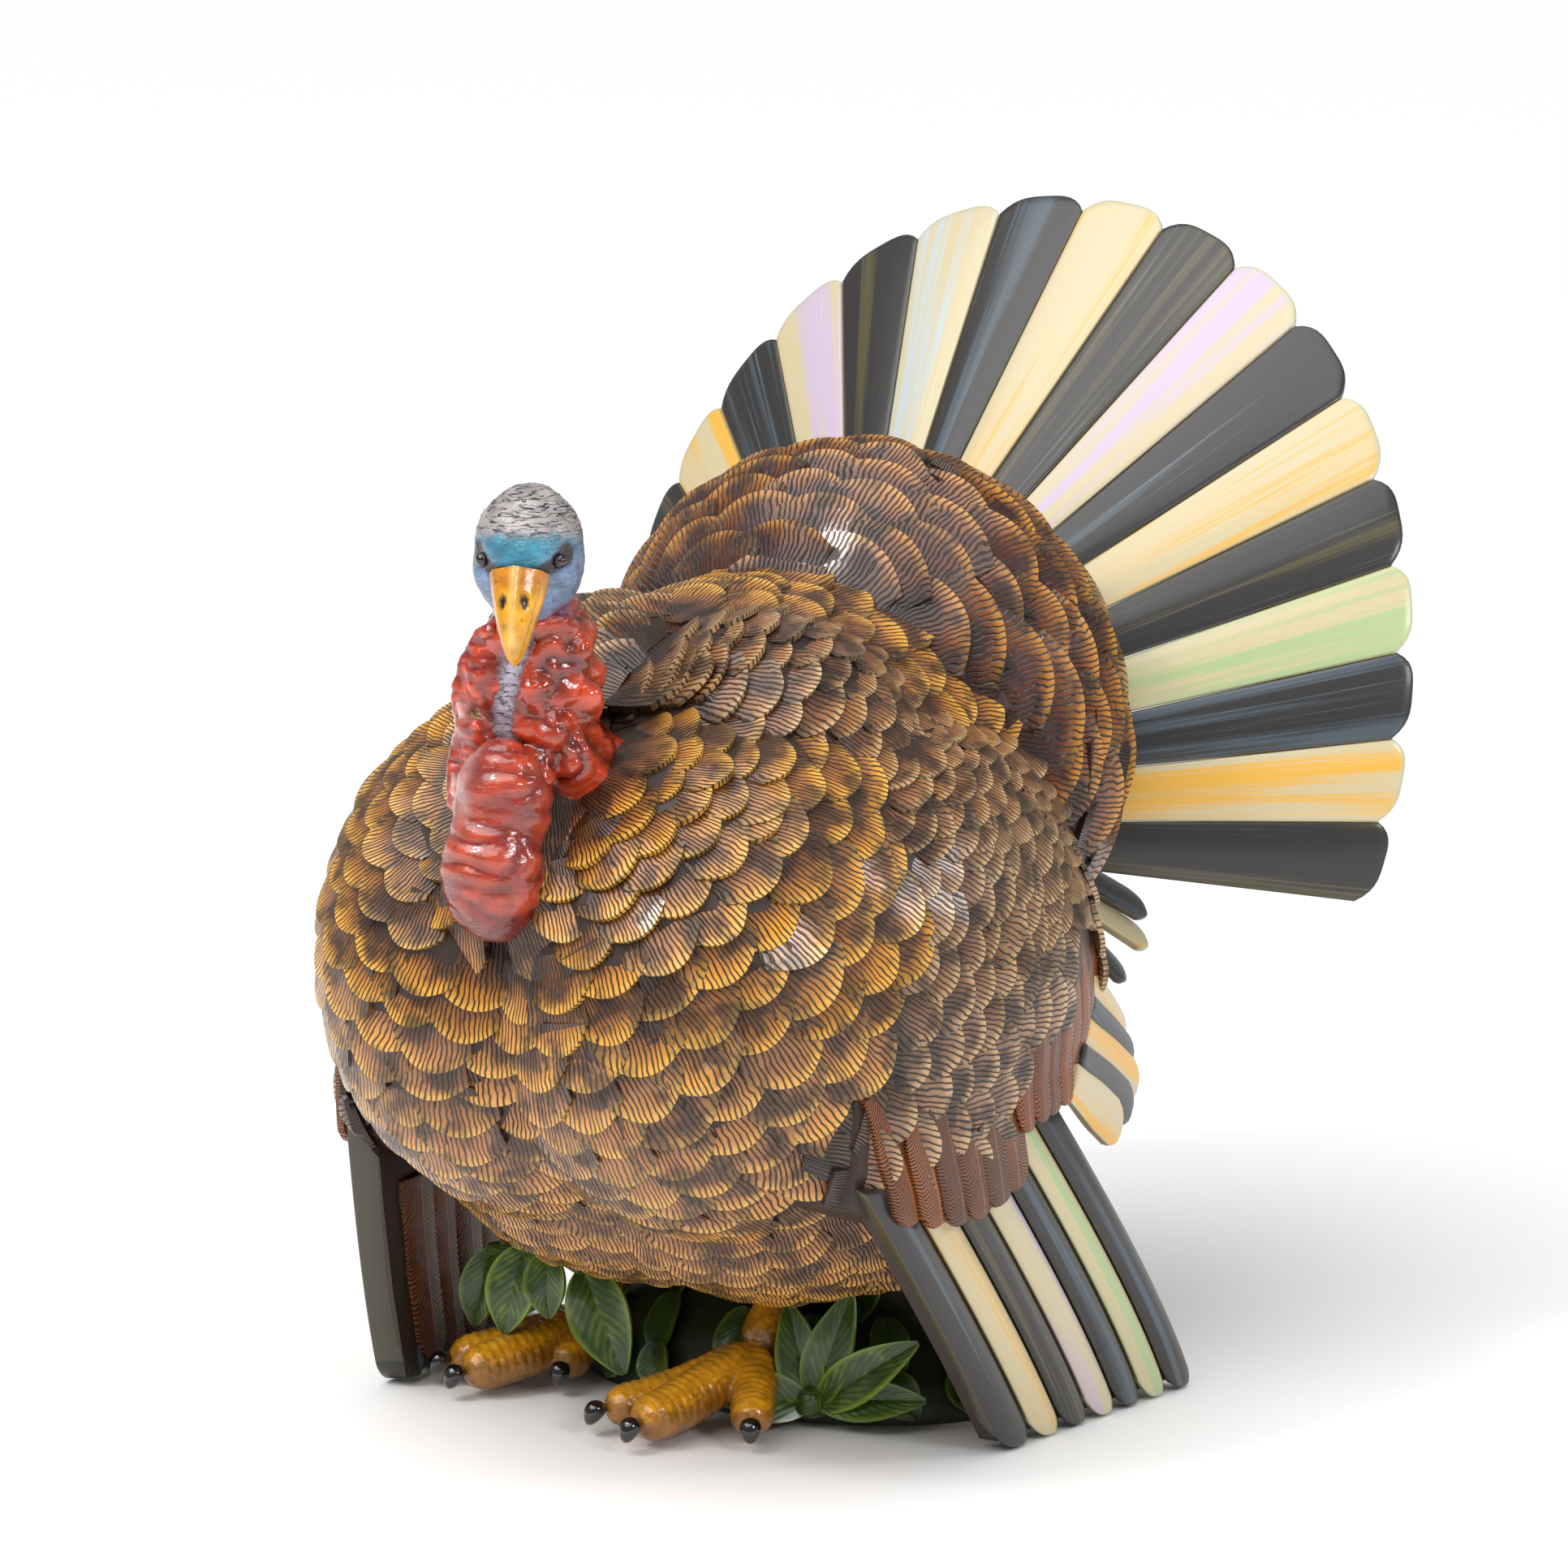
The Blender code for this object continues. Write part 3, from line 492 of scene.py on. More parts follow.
def brushed_enamel(name, base, pale_streaks_and_sheen, threshold, edge_colour, end_colour):
    """Enamel drawn along the feather with a flat brush: lengthwise strokes of a second
    colour, thin pale streak marks that are painted sheen on the black and brushed paint on the cream,
    faint brush ridges and a gloss coat."""
    mat, add, dress = begin(name, 0.4, 0.35, 0.15)
    uv = add("UVMap", {"uv_map": "UVMap"})
    uvs = add("SeparateXYZ", None, {0: uv})
    accent = add("Attribute", {"attribute_name": "accent"})
    seed = add("Attribute", {"attribute_name": "tint"})
    far = add("Math", TIMES, {0: seed.outputs["Fac"], 1: 90.0})
    flow = add("CombineXYZ", None, {"X": uvs.outputs["X"], "Y": uvs.outputs["Y"], "Z": far})
    # a bristle mark is about 0.7 mm wide on a feather 36 mm wide
    fine_place = add("Mapping", None, {"Vector": flow, "Scale": (26.0, 0.9, 1.0)})
    fine = add("TexNoise", None, {"Vector": fine_place, "Scale": 1.0, "Detail": 5.0,
                                  "Roughness": 0.7})
    wide_place = add("Mapping", None, {"Vector": flow, "Scale": (3.2, 0.55, 1.0)})
    wide = add("TexNoise", None, {"Vector": wide_place, "Scale": 1.0, "Detail": 3.0})
    blend = add("Math", TIMES_PLUS, {0: fine.outputs["Fac"], 1: 0.45, 2: wide.outputs["Fac"]})
    accent_mask = add("MapRange", SMOOTH, {"Value": blend, "From Min": threshold,
                                           "From Max": threshold + 0.16, "To Max": 0.95})
    toned = add("Mix", MIX, {0: accent_mask, 6: base, 7: accent.outputs["Color"]})
    # thin pale streak marks in the given colour: on the black enamel they are painted sheen, on the
    # cream they are brushed paint
    pale_streak_and_sheen_mask = add("MapRange", SMOOTH, {"Value": fine.outputs["Fac"], "From Min": 0.58,
                                          "From Max": 0.74, "To Max": 0.55})
    with_streaks_and_sheen = add("Mix", MIX, {0: pale_streak_and_sheen_mask, 6: toned.outputs[2], 7: pale_streaks_and_sheen})
    centre = add("Math", MINUS, {0: uvs.outputs["X"], 1: 0.5})
    off = add("Math", ABS, {0: centre})
    uneven = add("Math", TIMES_PLUS, {0: wide.outputs["Fac"], 1: 0.05, 2: off})
    edge = add("MapRange", SMOOTH, {"Value": uneven, "From Min": 0.492, "From Max": 0.52,
                                    "To Max": 0.8})
    edged = add("Mix", MIX, {0: edge, 6: with_streaks_and_sheen.outputs[2], 7: edge_colour})
    end = add("MapRange", SMOOTH, {"Value": uvs.outputs["Y"], "From Min": 0.985,
                                   "From Max": 0.998})
    colour = add("Mix", MIX, {0: end, 6: edged.outputs[2], 7: end_colour})
    raised = add("Bump", None, {"Strength": 0.35, "Distance": 0.15 * MM,
                                "Height": fine.outputs["Fac"]})
    dress({"Base Color": colour.outputs[2], "Normal": raised})
    return mat


def glazed_skin(name, wash, roughness, coat, grain, depth):
    """Painted and glazed bare skin: the brushed-on colour zones with any painted light and
    shade that the paint attribute carries, dark wash in cracks that run across the head, stipple, and
    a thick wet gloss."""
    mat, add, dress = begin(name, roughness, coat, 0.06)
    paint = add("Attribute", {"attribute_name": "paint"})
    place = add("TexCoord")
    crack_place = add("Mapping", None, {"Vector": place.outputs["Object"], "Scale": (90.0, 90.0,
                                                                                     520.0)})
    crack = add("TexNoise", None, {"Vector": crack_place, "Scale": 1.0, "Detail": 5.0,
                                   "Distortion": 0.6})
    off = add("Math", MINUS, {0: crack.outputs["Fac"], 1: 0.5})
    thin = add("Math", ABS, {0: off})
    line = add("MapRange", SMOOTH, {"Value": thin, "From Min": 0.035, "From Max": 0.008})
    cracked = add("Math", TIMES, {0: line, 1: paint.outputs["Alpha"]})
    # stipple about 0.8 mm across
    stipple = add("TexNoise", None, {"Vector": place.outputs["Object"], "Scale": grain,
                                     "Detail": 3.0})
    dots = add("MapRange", SMOOTH, {"Value": stipple.outputs["Fac"], "From Min": 0.62,
                                    "From Max": 0.74, "To Max": 0.6})
    broad = add("TexNoise", None, {"Vector": place.outputs["Object"], "Scale": 150.0,
                                   "Detail": 4.0})
    shade = add("MapRange", None, {"Value": broad.outputs["Fac"], "From Min": 0.3,
                                   "From Max": 0.7, "To Min": 0.62, "To Max": 1.25})
    toned = add("VectorMath", {"operation": "SCALE"}, {0: paint.outputs["Color"], "Scale": shade})
    dotted = add("Mix", MIX, {0: dots, 6: toned, 7: wash})
    colour = add("Mix", MIX, {0: cracked, 6: dotted.outputs[2], 7: wash})
    lumps = add("Math", TIMES_PLUS, {0: broad.outputs["Fac"], 1: 1.6, 2: stipple.outputs["Fac"]})
    height = add("Math", MINUS, {0: lumps, 1: cracked})
    raised = add("Bump", None, {"Strength": 0.7, "Distance": depth * MM, "Height": height})
    dress({"Base Color": colour.outputs[2], "Normal": raised, "Coat Normal": raised})
    return mat


def gloss_black(name):
    """Black enamel on eyes and claws: dense, with a hard clear highlight."""
    mat, add, dress = begin(name, 0.12, 1.0, 0.03)
    place = add("TexCoord")
    cloud = add("TexNoise", None, {"Vector": place.outputs["Object"], "Scale": 300.0,
                                   "Detail": 3.0})
    colour = add("Mix", MIX, {0: cloud.outputs["Fac"], 6: linear("050505"), 7: linear("1A1618")})
    dress({"Base Color": colour.outputs[2]})
    return mat


def leaf_enamel(name, deep, light):
    """Green enamel brushed over a cast leaf: dark middle, pale green dragged along the
    veins and the rim, satin varnish."""
    mat, add, dress = begin(name, 0.34, 0.4, 0.12)
    uv = add("UVMap", {"uv_map": "UVMap"})
    uvs = add("SeparateXYZ", None, {0: uv})
    tint = add("Attribute", {"attribute_name": "tint"})
    place = add("TexCoord")
    brush = add("TexNoise", None, {"Vector": place.outputs["Object"], "Scale": 140.0,
                                   "Detail": 5.0})
    aside = add("Math", MINUS, {0: uvs.outputs["X"], 1: 0.5})
    away = add("Math", ABS, {0: aside})
    slant = add("Math", TIMES_PLUS, {0: away, 1: -0.7, 2: uvs.outputs["Y"]})
    veins = add("Math", TIMES, {0: slant, 1: 9.0})
    wave = add("Math", FOLDED, {0: veins, 1: 0.5})
    rubbed = add("Math", TIMES_PLUS, {0: wave, 1: 0.5, 2: brush.outputs["Fac"]})
    vein = add("MapRange", SMOOTH, {"Value": rubbed, "From Min": 0.55, "From Max": 1.0,
                                    "To Max": 0.75})
    rim = add("MapRange", SMOOTH, {"Value": away, "From Min": 0.36, "From Max": 0.5})
    amount = add("Math", LARGER, {0: vein, 1: rim})
    dosed = add("Math", TIMES, {0: amount, 1: tint.outputs["Fac"]})
    colour = add("Mix", MIX, {0: dosed, 6: deep, 7: light})
    raised = add("Bump", None, {"Strength": 0.6, "Distance": 0.5 * MM, "Height": rubbed})
    dress({"Base Color": colour.outputs[2], "Normal": raised})
    return mat


def undercoat(name, deep, light):
    """Brown primer under the feather relief and in its gaps: dull, blotched."""
    mat, add, dress = begin(name, 0.55, 0.2, 0.25)
    place = add("TexCoord")
    cloud = add("TexNoise", None, {"Vector": place.outputs["Object"], "Scale": 120.0,
                                   "Detail": 5.0})
    colour = add("Mix", MIX, {0: cloud.outputs["Fac"], 6: deep, 7: light})
    raised = add("Bump", None, {"Strength": 0.6, "Distance": 0.6 * MM,
                                "Height": cloud.outputs["Fac"]})
    dress({"Base Color": colour.outputs[2], "Normal": raised})
    return mat


def studio_paper(name):
    """Matt white paper sweep: even, with barely visible tooth."""
    mat, add, dress = begin(name, 0.7, 0.0, 0.1)
    place = add("TexCoord")
    tooth = add("TexNoise", None, {"Vector": place.outputs["Object"], "Scale": 600.0})
    colour = add("Mix", MIX, {0: tooth.outputs["Fac"], 6: linear("FBFBFB"), 7: linear("FFFFFF")})
    dress({"Base Color": colour.outputs[2]})
    return mat


# ------------------------------------------------------------------ laying feathers
class Form:
    """A closed surface that feathers are laid on, and which CAD node each part belongs to."""

    def __init__(self, names, voxel=None):
        copies = []
        points, faces, self.owners = [], [], []
        for name in names:
            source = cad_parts[name]
            start = len(points)
            points += [v.co.copy() for v in source.data.vertices]
            for p in source.data.polygons:
                faces.append([start + i for i in p.vertices])
                self.owners.append(name)
            if voxel:
                twin = bpy.data.objects.new("form_" + name, source.data.copy())
                bpy.context.scene.collection.objects.link(twin)
                copies.append(weld(twin, 0.005))
        self.parts = BVHTree.FromPolygons(points, faces)
        self.skin = self.parts
        if voxel:
            skin = fused(copies, "carving_form", voxel, 30)
            self.skin = BVHTree.FromPolygons([v.co.copy() for v in skin.data.vertices],
                                             [list(p.vertices) for p in skin.data.polygons])
            bpy.data.objects.remove(skin)

    def probe(self, origin, direction, reach=400):
        """Where a probe coming in along direction meets the surface, in mm, and its normal."""
        start = (Vector(origin) + Vector(direction) * reach) * MM
        spot, normal = self.skin.ray_cast(start, -Vector(direction))[:2]
        return (None, None) if spot is None else (spot / MM, normal)

    def touch(self, origin, direction):
        return self.probe(origin, direction)[0]

    def owner(self, spot):
        return self.owners[self.parts.find_nearest(spot * MM)[2]]


def lay_rows(form, centre, pole, first, last, pitch, width, owners, keep=None):
    """Places for feathers in rings round a pole, each row staggered against the last."""
    centre, pole = Vector(centre), Vector(pole).normalized()
    u = (Vector((1, 0, 0)) - pole * pole.x).normalized()
    w = pole.cross(u)

    def ray(lat, lon):
        return pole * math.cos(lat) + (u * math.cos(lon) + w * math.sin(lon)) * math.sin(lat)

    def spot(lat, lon):
        return form.touch(centre, ray(lat, lon))

    samples, rows, lat, places = 96, 0, math.radians(first), []
    while lat < math.radians(last):
        ring = [spot(lat, math.tau * k / samples) for k in range(samples)]
        found = [p for p in ring if p]
        if not found:
            break
        reach = sum((p - centre).length for p in found) / len(found)
        gap = pitch(lat) if callable(pitch) else pitch
        wide = width(lat) if callable(width) else width
        stride = gap / reach
        travelled = wide * 0.4 * (rows % 2) + 0.13 * wide * (rows % 3)
        for k in range(samples):
            a, b = ring[k], ring[(k + 1) % samples]
            if not a or not b:
                continue
            part = (b - a).length
            while travelled < part:
                lon = math.tau * (k + travelled / part) / samples
                places.append((lat, lon, stride, gap, wide))
                travelled += wide * 0.86
            travelled -= part
        lat += stride
        rows += 1

    laid = []
    for lat, lon, stride, gap, wide in places:
        here = spot(lat, lon)
        if not here or form.owner(here) not in owners or (keep and not keep(here)):
            continue
        turn = stride / max(math.sin(lat), 0.2)
        around = [form.probe(centre, ray(lat + stride * i * 0.6, lon + turn * j * 0.6))
                  for i, j in ((0, 0), (-1, 0), (1, 0), (0, -1), (0, 1))]
        if not all(p for p, _ in around):
            continue
        normal = sum((n for _, n in around), Vector()).normalized()
        out = ray(lat, lon)
        if normal.dot(out) < 0.42:
            continue
        stretch = min(max((around[2][0] - around[1][0]).length / 1.2 / gap, 0.8), 1.5)
        away = out * math.cos(lat) - pole
        along = (away - normal * away.dot(normal)).normalized()
        across = along.cross(normal).normalized()
        laid.append((here, across, along, normal, wide, gap * stretch))
    return laid


def scallop():
    """The carved feather that every coat repeats: fan-shaped, cupped, closed, 52 faces.
    Its x is across (-0.5 to 0.5), y along (0 to 1) and z its height."""
    def place(u, v):
        s = 2 * u - 1
        return (s * (0.3 + 0.24 * v ** 0.7) * 1000,
                v * (1 - 0.3 * abs(s) ** 2.1) * 1000,
                (-1.5 + 3.3 * v + 0.7 * v ** 6 - (0.4 + 1.9 * v) * s * s) * 1000)
    obj = shaped_grid("scallop", 9, 3, place)
    face_towards(obj, (0, 0, 1))
    only(obj)
    bpy.ops.object.mode_set(mode="EDIT")
    bpy.ops.mesh.select_all(action="DESELECT")
    bpy.ops.mesh.select_mode(type="EDGE")
    bpy.ops.mesh.select_non_manifold()
    bpy.ops.mesh.extrude_region_move(TRANSFORM_OT_translate={"value": (0, 0, -2.2)})
    bpy.ops.mesh.edge_face_add()
    bpy.ops.mesh.select_all(action="SELECT")
    bpy.ops.mesh.normals_make_consistent(inside=False)
    bpy.ops.object.mode_set(mode="OBJECT")
    points = np.array([v.co for v in obj.data.vertices])
    faces = [list(p.vertices) for p in obj.data.polygons]
    coords = np.array([d.uv for d in obj.data.uv_layers["UVMap"].data])
    bpy.data.objects.remove(obj)
    return points, faces, coords


def coat(name, laid, template, seed, relief, overlap, zone, press=None):
    """One mesh of many feathers: a copy of the template at each place, a little varied."""
    points, faces, coords = template
    rng = random.Random(seed)
    all_points, all_faces, tints, zones = [], [], [], []
    for here, across, along, normal, wide, long in laid:
        yaw = rng.gauss(0, 0.09)
        side = across * math.cos(yaw) + along * math.sin(yaw)
        ahead = along * math.cos(yaw) - across * math.sin(yaw)
        grow = 1 + rng.gauss(0, 0.07)
        size = np.array([wide * grow * 1.22, long * overlap * (1 + rng.gauss(0, 0.08)),
                         relief * (1 + rng.gauss(0, 0.15))])
        local = points * size
        local[:, 1] -= size[1] * 0.55
        axes = np.array([side, ahead, normal])
        lift = normal * rng.uniform(-0.3, 0.9)
        all_points.append(local @ axes + np.array(here + lift))
        start = len(all_faces) // len(faces) * len(points)
        all_faces += [[start + i for i in f] for f in faces]
        tints.append(rng.random())
        zones.append(min(max(zone(here) + rng.gauss(0, 0.12), 0), 1))
    co = np.concatenate(all_points)
    if press:
        co = press(co)
    mesh = bpy.data.meshes.new(name)
    mesh.from_pydata((co * MM).tolist(), [], all_faces)
    layer = mesh.uv_layers.new(name="UVMap")
    layer.data.foreach_set("uv", np.tile(coords, (len(laid), 1)).ravel())
    for key, values in (("tint", tints), ("zone", zones)):
        attribute = mesh.attributes.new(key, "FLOAT", "POINT")
        attribute.data.foreach_set("value", np.repeat(values, len(points)))
    obj = bpy.data.objects.new(name, mesh)
    bpy.context.scene.collection.objects.link(obj)
    return smooth(obj, 50)


def blade(name, low, high, facing, thick, swell, blunt, across=10, along=26, root=0.0,
          soft=0.9, inset=0.0, lean=0.0):
    """A long feather between two edge lines low(t) and high(t), rounded at its end,
    swollen along its middle, thick and closed, its edges softened."""
    facing = Vector(facing).normalized()

    def place(u, v):
        s = 2 * u - 1
        t = root + (1 - blunt * abs(s) ** 3.4 - root) * v
        spot = low(t).lerp(high(t), inset + (1 - 2 * inset) * u)
        rise = swell * (1 - s * s) * (1 - 0.6 * v ** 10) + lean * s
        return spot + facing * rise
    obj = face_towards(shaped_grid(name, across, along, place), facing)
    with_modifier(obj, "SOLIDIFY", thickness=thick * MM, offset=-1.0, use_even_offset=True)
    with_modifier(obj, "BEVEL", width=soft * MM, segments=2, limit_method="ANGLE",
                  angle_limit=math.radians(50))
    return smooth(obj, 35)


FORMS = {}


def figure_form():
    """The smoothed body, mantle, wings and neck, made on first use."""
    if "figure" not in FORMS:
        FORMS["figure"] = Form(["body_shell", "mantle", "wing_left", "wing_right", "neck",
                                "wattle", "neck_fold"], 3.2)
        FORMS["scallop"] = scallop()
    return FORMS["figure"]


def paint_node(node, mat):
    """Paint a CAD node that stays in view."""
    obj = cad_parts[node]
    obj.data.materials.clear()
    obj.data.materials.append(mat)


# ------------------------------------------------------------------ fan geometry
def fan_point(centre, sideways, upward):
    return centre + Vector((sideways, upward * math.sin(TAIL_TILT), upward * math.cos(TAIL_TILT)))


def rim_point(turn, gap=0.3):
    a = math.radians(turn * RIM_SPREAD)
    return fan_point(RIM_CENTRE, (RIM_RADII[0] + gap) * math.sin(a),
                     (RIM_RADII[1] + gap) * math.cos(a))


def tip_point(turn):
    a = math.radians(turn)
    radius = TIP_RADIUS * (1 + TIP_EGG[0] * math.cos(a) + TIP_EGG[1] * math.cos(2 * a))
    return (fan_point(TIP_CENTRE, radius * math.sin(a), radius * math.cos(a))
            + Vector((0, TIP_CUP * math.cos(2 * a), 0)))


def flight_point(i, t, across, inset, side):
    """A point on flight feather i: t from root to ground, across from edge to edge."""
    ends = []
    for split in (FLIGHT_SPLIT[i], FLIGHT_SPLIT[i + 1]):
        top, foot = [[a + (b - a) * split for a, b in zip(*e)] for e in (FLIGHT_ROOT, FLIGHT_FOOT)]
        ends.append([p + (q - p) * t for p, q in zip(top, foot)])
    y, z = [p + (q - p) * across for p, q in zip(*ends)]
    share = (i + across) / FLIGHT_COUNT
    top, ground = [a + (b - a) * share for a, b in FLIGHT_X]
    x = top + (ground - top) * math.sin(t * math.pi / 2) - inset
    at_root, at_ground = WING_SHIFT[side]
    return Vector((x * side, y + at_root + (at_ground - at_root) * t, z))


# ------------------------------------------------------------------ the pieces
class TurkeyOperator(bpy.types.Operator):
    """Base of the building steps."""
    bl_options = {"REGISTER", "UNDO"}


class TURKEY_OT_stage(TurkeyOperator):
    """White paper floor, soft studio light and the camera."""
    bl_idname = "turkey.stage"
    bl_label = "Stage and light"

    def execute(self, context):
        scene = context.scene
        bpy.ops.object.select_all(action="DESELECT")
        bpy.ops.mesh.primitive_plane_add(size=sizes().sweep, location=(0, 0, -0.0002))
        floor = context.object
        floor.name = "paper_floor"
        floor.data.materials.append(studio_paper("white_paper"))
        for name, kind, place, size, power, colour in LAMPS:
            bpy.ops.object.light_add(type=kind, location=place)
            lamp = context.object
            lamp.name = name
            setattr(lamp.data, "size" if kind == "AREA" else "angle", size)
            lamp.data.energy = power
            lamp.data.color = colour
            lamp.rotation_euler = (VIEW_TARGET - lamp.location).to_track_quat("-Z", "Y").to_euler()
        world = scene.world or bpy.data.worlds.new("studio")
        scene.world = world
        world.use_nodes = True
        backdrop = world.node_tree.nodes["Background"]
        backdrop.inputs["Color"].default_value = (1.0, 1.0, 1.0, 1.0)
        backdrop.inputs["Strength"].default_value = BACKDROP_STRENGTH
        a, e = math.radians(VIEW_TURN), math.radians(VIEW_RISE)
        away = Vector((math.sin(a) * math.cos(e), -math.cos(a) * math.cos(e), math.sin(e)))
        bpy.ops.object.camera_add(location=VIEW_TARGET + away * VIEW_AWAY)
        camera = context.object
        camera.name = "studio_camera"
        camera.rotation_euler = (-away).to_track_quat("-Z", "Y").to_euler()
        camera.data.lens = VIEW_LENS
        camera.data.sensor_width = 36.0
        camera.data.clip_end = 200.0
        scene.camera = camera
        scene.view_settings.view_transform = "Standard"
        return {"FINISHED"}


class TURKEY_OT_carcass(TurkeyOperator):
    """Primer on the body, mantle, wing and hub castings under the feather relief."""
    bl_idname = "turkey.carcass"
    bl_label = "Primed castings"

    def execute(self, context):
        brown = undercoat("brown_primer", linear("1C0F08"), linear("3A2112"))
        for node in ("body_shell", "mantle", "wing_left", "wing_right", "tail_hub"):
            paint_node(node, brown)
        return {"FINISHED"}


class TURKEY_OT_breast(TurkeyOperator):
    """Carved feathers of breast, belly and back, in rings from the foot of the neck."""
    bl_idname = "turkey.breast"
    bl_label = "Body feathers"

    def execute(self, context):
        form, size, hue = figure_form(), sizes(), paints()

        def pitch(lat):
            return (size.breast_pitch * (1 - 0.3 * step(1.2, 2.1, lat))
                    * (0.8 + 0.2 * step(0.3, 0.8, lat)))

        def width(lat):
            return (size.breast_width * (1 - 0.28 * step(1.2, 2.1, lat))
                    * (0.72 + 0.28 * step(0.3, 0.9, lat)))

        laid = lay_rows(form, (0, -20, 165), (0, -0.72, 0.69), 6, 168, pitch, width,
                        {"body_shell"}, keep=lambda p: p.z > 44)
        paint = carved_resin("varnished_breast_resin", hue.groove, (hue.breast, linear("905E36")),
                             (hue.tip, hue.low_tip), linear("ECB652"), 16.0)
        obj = coat("body_feathers", laid, FORMS["scallop"], 11, 1.05, 2.5,
                   lambda p: 1 - step(120, 185, p.z))
        settle(obj, paint, "figure", "tan")
        return {"FINISHED"}


class TURKEY_OT_mantle(TurkeyOperator):
    """Broad gold-rimmed feathers of the ruff in front of the fan."""
    bl_idname = "turkey.mantle"
    bl_label = "Mantle feathers"

    def execute(self, context):
        form, size, hue = figure_form(), sizes(), paints()
        laid = lay_rows(form, (0, 82, 240), (0, -1, 0.12), 30, 122, size.mantle_pitch,
                        size.mantle_width, {"mantle"})
        laid = [place for place in laid if place[3].y < 0.8]

        def press(points):
            """Keep every point in front of the fan, which falls back from its rim."""
            off = points - np.array(RIM_CENTRE)
            back = np.array(FAN_BACK)
            up = np.array((0, math.sin(TAIL_TILT), math.cos(TAIL_TILT)))
            ring = np.hypot(off[:, 0] / RIM_RADII[0], off @ up / RIM_RADII[1])
            extra = off @ back - (34 * (np.maximum(ring, 1) - 1) - 5.5)
            return points - np.outer(np.maximum(extra, 0), back)
        paint = carved_resin("varnished_mantle_resin", linear("1C0B05"),
                             (hue.mantle, linear("4C220E")),
                             (hue.mantle_tip, linear("8A5220")), linear("D0903A"), 19.0)
        obj = coat("mantle_feathers", laid, FORMS["scallop"], 23, 1.3, 2.3,
                   lambda p: 1 - step(170, 260, p.z), press)
        settle(obj, paint, "figure", "brown")
        return {"FINISHED"}


class TURKEY_OT_wing_scales(TurkeyOperator):
    """Small close scales of shoulder and wing, in arcs from the shoulder's front."""
    bl_idname = "turkey.wing_scales"
    bl_label = "Wing scales"

    def execute(self, context):
        form, size, hue = figure_form(), sizes(), paints()
        paint = carved_resin("varnished_wing_resin", linear("1A100A"), (hue.covert, linear("6B4C38")),
                             (linear("BA8342"), linear("AC8660")), linear("D2AC7C"), 13.0, 0.4)
        for side, word in SIDES:
            def keep(p):
                low = 150 if p.y > -16 else 98
                return p.z > low and p.x * side > 4
            laid = lay_rows(form, (60 * side, 0, 200), (-0.74 * side, -0.5, 0.45), 4, 160,
                            size.scale_pitch, size.scale_width, {"wing_" + word}, keep)
            laid = [q for q in laid if q[3].x * side > 0.45
                    or (q[0].z > 150 and q[3].x * side + q[3].z > 0.35)]
            obj = coat("wing_scales_" + word, laid, FORMS["scallop"], 31 + side, 1.0, 2.3,
                       lambda p: 1 - step(215, 250, p.z))
            settle(obj, paint, "figure", "brown")
        return {"FINISHED"}


class TURKEY_OT_wing_quills(TurkeyOperator):
    """Long brown feathers: the curtain of secondaries, the primary coverts and the lining."""
    bl_idname = "turkey.wing_quills"
    bl_label = "Wing quills"

    def execute(self, context):
        form, hue = figure_form(), paints()
        paint = quill_resin("varnished_quill_resin", linear("22110A"), hue.quill,
                            linear("9C521E"))
        greyed = quill_resin("varnished_covert_resin", linear("1D120C"), linear("70401F"),
                             linear("9A5628"))
        rng = random.Random(5)
        for side, word in SIDES:
            out = Vector((side, 0, 0))

            def on_wing(y, z, lift):
                spot = form.touch(Vector((0, y, z)), out)
                x = spot.x if spot else 100 * side
                return Vector((x + lift * side, y, z))

            def quill(root, tip, half, lift):
                """A feather that follows the wing from root to tip, both given as y, z."""
                start, end = Vector(root), Vector(tip)
                way = (end - start).normalized()
                aside = Vector((-way.y, way.x))
                heights = []
                for k in range(5):
                    c = start.lerp(end, k / 4)
                    heights.append(abs(on_wing(c.x, max(c.y, 128), 0).x))
                heights[-1] = heights[-2]

                def edge(sign):
                    def line(t):
                        wide = half * (0.72 + 0.28 * step(0, 0.5, t))
                        c = start.lerp(end, t) + aside * wide * sign
                        k = min(t * 4, 3.999)
                        x = heights[int(k)] + (heights[int(k) + 1] - heights[int(k)]) * (k % 1)
                        return Vector(((x + lift - 2.6 + 4.4 * t) * side, c.x, c.y))
                    return line
                obj = blade("quill", edge(1), edge(-1), out, 3.2, 1.4, 0.16, 8, 20, soft=0.6,
                            lean=0.35)
                mark(obj, tint=rng.random())
                return obj

            curtain = []
            for k in range(9):
                y = 77 - 10.6 * k
                curtain.append(quill((y - 9 + k * 0.5, 182 - 1.2 * k),
                                     (y, 119.5 + 1.4 * (k % 2) - (k > 6) * 2), 7.6,
                                     0.6 + 0.5 * (k % 2)))
            obj = joined(curtain, "secondaries_" + word)
            settle(obj, paint, "figure", "brown")
            coverts = []
            for k in range(6):
                y = -78 + 12.2 * k
                coverts.append(quill((y - 11 + k * 1.4, 146 - k * 0.8),
                                     (y + 2, 98 - 5 * math.sin(math.pi * k / 5)), 10.5,
                                     1.4 - 0.2 * k))
            obj = joined(coverts, "primary_coverts_" + word)
            settle(obj, greyed, "figure", "brown")

            lining = []
            for i in range(1, FLIGHT_COUNT):
                low = partial(flight_point, i, across=-0.3, inset=12.6 + 0.5 * (i % 2), side=side)
                high = partial(flight_point, i, across=0.95, inset=12.6 + 0.5 * (i % 2), side=side)
                piece = blade("q", lambda t, f=low: f(0.28 + 0.66 * t),
                              lambda t, f=high: f(0.28 + 0.66 * t), -out, 2.0, 1.4, 0.1, 8, 24,
                              soft=0.5)
                lining.append(mark(piece, tint=0.3 + 0.5 * rng.random()))
            obj = joined(lining, "wing_lining_" + word)
            settle(obj, greyed, "figure", "brown")
        return {"FINISHED"}


